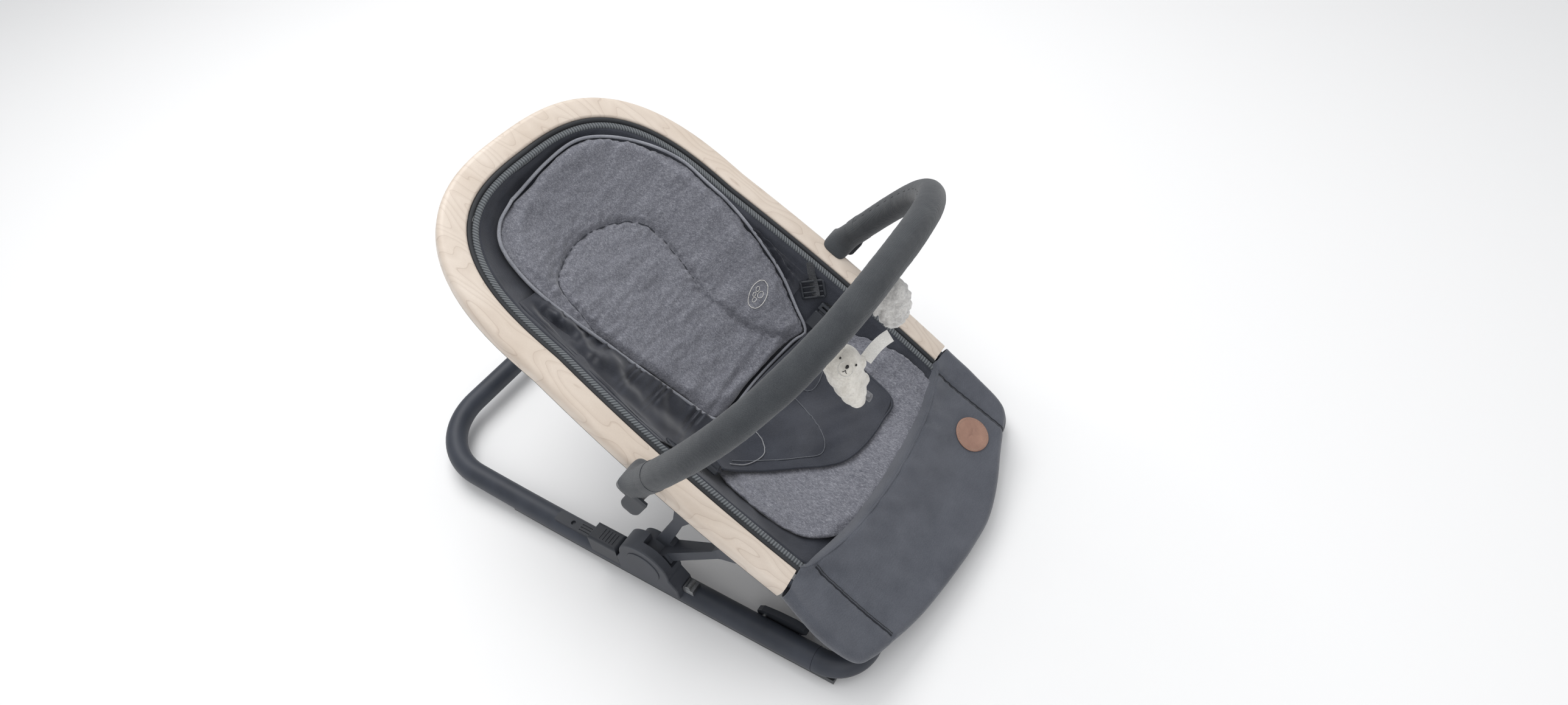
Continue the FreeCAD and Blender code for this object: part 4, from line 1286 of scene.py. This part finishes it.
def on_head(r, u, reach):
    d = unit(np.array([r, u, 1.0]))
    return tuple(HEAD + (FACE_R * d[0] + FACE_U * d[1] + FACE_F * d[2]) * reach / 1000.0)


for s, tag in ((-1, "l"), (1, "r")):
    eye = mm(1.3, 1.3, 1.3)
    rabbit_eye = at(rx, ryy, rz, s * 6.0, 13.6, 3.0)
    bead("bear_eye_" + tag, on_head(s * 0.52, 0.16, 19.0), eye, M_EYE, "bear")
    bead("rabbit_eye_" + tag, rabbit_eye, eye, M_EYE, "rabbit")
    mouth = [face(s * 2.4 * t, -6.2 - 2.4 * (1 - (1 - t) ** 2), 20.3 - 0.6 * t)
             for t in np.linspace(0, 1, 7)]
    strand("bear_mouth_" + tag, mouth, 0.0004, M_EYE, "bear", 6)
bead("bear_nose", face(0, -2.6, 20.0), mm(2.4, 2.0, 1.7), M_EYE, "bear")
bead("rabbit_nose", at(rx, ryy, rz, 0, 18.8, -1.4), mm(1.7, 1.2, 1.2), M_EYE, "rabbit")
ring_line = [face(7.6 * math.cos(a), -5 + 7.2 * math.sin(a), 18.6 - 0.02 * abs(8 * math.sin(a)) ** 2)
             for a in np.linspace(0, 2 * math.pi, 40)]
strand("bear_muzzle_seam", ring_line, 0.00035, M_RIBBON, "bear", 5)

# blank care label and small grey loop on the bear
side_dir = unit(np.array([0.81, -0.37, 0.43]))
wide_dir = np.array([-0.10, 0.83, 0.55])
label = []
for t in np.linspace(0, 1, 16):
    arch = np.array([0, 0, 1.0]) * 0.004 * math.sin(math.pi * t)
    label.append(HEAD + np.array([0.008, -0.012, -0.010]) + side_dir * (0.012 + 0.034 * t) + arch)
ribbon_strip("bear_care_label", label, [wide_dir] * 16, 0.013, 0.0005, M_RIBBON, "bear")
tip = np.array([bx - 0.003, byy - 0.017, bz - 0.041])
loop_line = []
for a in np.linspace(-2.3, 2.3, 24):
    loop_line.append(tip + np.array([0.010 + 0.0042 * math.cos(a), -0.0075, -0.002 + 0.0042 * math.sin(a)]))
tag_wide = np.array([0.2, 1.0, 0.3])
ribbon_strip("bear_tag_loop", loop_line, [tag_wide] * 24, 0.006, 0.0007, M_GREYTAG, "bear")


def hanging_ribbon(tag, node_name, body, material, width):
    """Ribbon tail sewn under and behind the padded bar, down to the toy."""
    lo, hi = box_corners(node_name)
    x = (lo[0] + hi[0]) / 2
    y = (lo[1] + hi[1]) / 2
    zc = hi[2] - 0.0198
    radius = 0.0176
    pts = []
    for a in np.linspace(-92, -34, 12):
        r = math.radians(a)
        pts.append((x, y + radius * math.cos(r), zc + radius * math.sin(r)))
    tail = [(x, y + 0.0006, z) for z in np.linspace(lo[2] + 0.001, zc - radius - 0.002, 8)]
    line = np.array(tail + pts)
    ribbon_strip(tag, line, [AX_U] * len(line), width, 0.0011, material, body, [node_name])


hanging_ribbon("bear_loop", "bear_ribbon", "bear", M_RIBBON, 0.011)
hanging_ribbon("rabbit_loop", "rabbit_ribbon", "rabbit", M_GREYTAG, 0.011)


# ---- finishes on the carried CAD nodes -----------------------------------
def both(*names):
    return [name + tag for name in names for tag in ("_l", "_r")]


FINISH = {
    M_FRAME: ["base_tube", "front_bar", "foot_frame"],
    M_RUNNER: both("runner", "heel_pad"),
    M_HUB: both("hub_housing", "hub_disc", "seat_bracket"),
    M_DARK: both("lock_track", "lock_slider", "stop_foot", "release_tab", "bar_socket", "buckle_body",
                 "buckle_clip"),
    M_STEEL: both("hub_pin", "foot_pin", "end_stop") + ["toybar_core"],
    M_BAR: both("bar_plug"),
}
for material, names in FINISH.items():
    for name in names:
        obj = NODES[name]
        obj.data.materials.clear()
        obj.data.materials.append(material)

# ---- stage, lights, camera -----------------------------------------------
floor_mat, _, floor_shader = new_material("studio_floor")
floor_shader.inputs["Base Color"].default_value = (0.96, 0.96, 0.96, 1.0)
floor_shader.inputs["Roughness"].default_value = 0.9
floor_pts = [[(-6, -6, 0), (-6, 6, 0)], [(6, -6, 0), (6, 6, 0)]]
floor = grid_object("studio_floor", floor_pts, floor_mat, smooth=False)


def area_light(name, place, aim, size, power):
    data = bpy.data.lights.new(name, "AREA")
    data.shape = "DISK"
    data.size = size
    data.energy = power
    obj = bpy.data.objects.new(name, data)
    bpy.context.scene.collection.objects.link(obj)
    obj.location = place
    obj.rotation_euler = (Vector(aim) - Vector(place)).to_track_quat("-Z", "Y").to_euler()
    return obj


area_light("key", (0.7, 1.2, 2.6), (0, 0, 0.2), 2.2, 42)
area_light("fill", (-2.0, -1.4, 1.8), (0, 0, 0.2), 2.0, 14)
area_light("top", (0.0, -0.2, 3.2), (0, 0, 0.0), 3.0, 27)
world_data = bpy.data.worlds.new("studio")
world_data.use_nodes = True
world_data.node_tree.nodes["Background"].inputs["Color"].default_value = (0.97, 0.98, 1.0, 1.0)
world_data.node_tree.nodes["Background"].inputs["Strength"].default_value = 0.46
bpy.context.scene.world = world_data
bpy.context.scene.view_settings.view_transform = "Standard"

cam_data = bpy.data.cameras.new("camera")
cam_data.sensor_width = 36.0
cam_data.lens = 20.672
cam_data.clip_start = 0.01
cam = bpy.data.objects.new("camera", cam_data)
bpy.context.scene.collection.objects.link(cam)
right = Vector((0.52056, -0.84994, -0.08134))
up = Vector((0.64290, 0.32749, 0.69240))
back_axis = Vector((-0.56187, -0.41273, 0.71691))
m = Matrix((right, up, back_axis)).transposed().to_4x4()
m.translation = Vector((-0.5942, -0.5562, 1.0043))
cam.matrix_world = m
bpy.context.scene.camera = cam
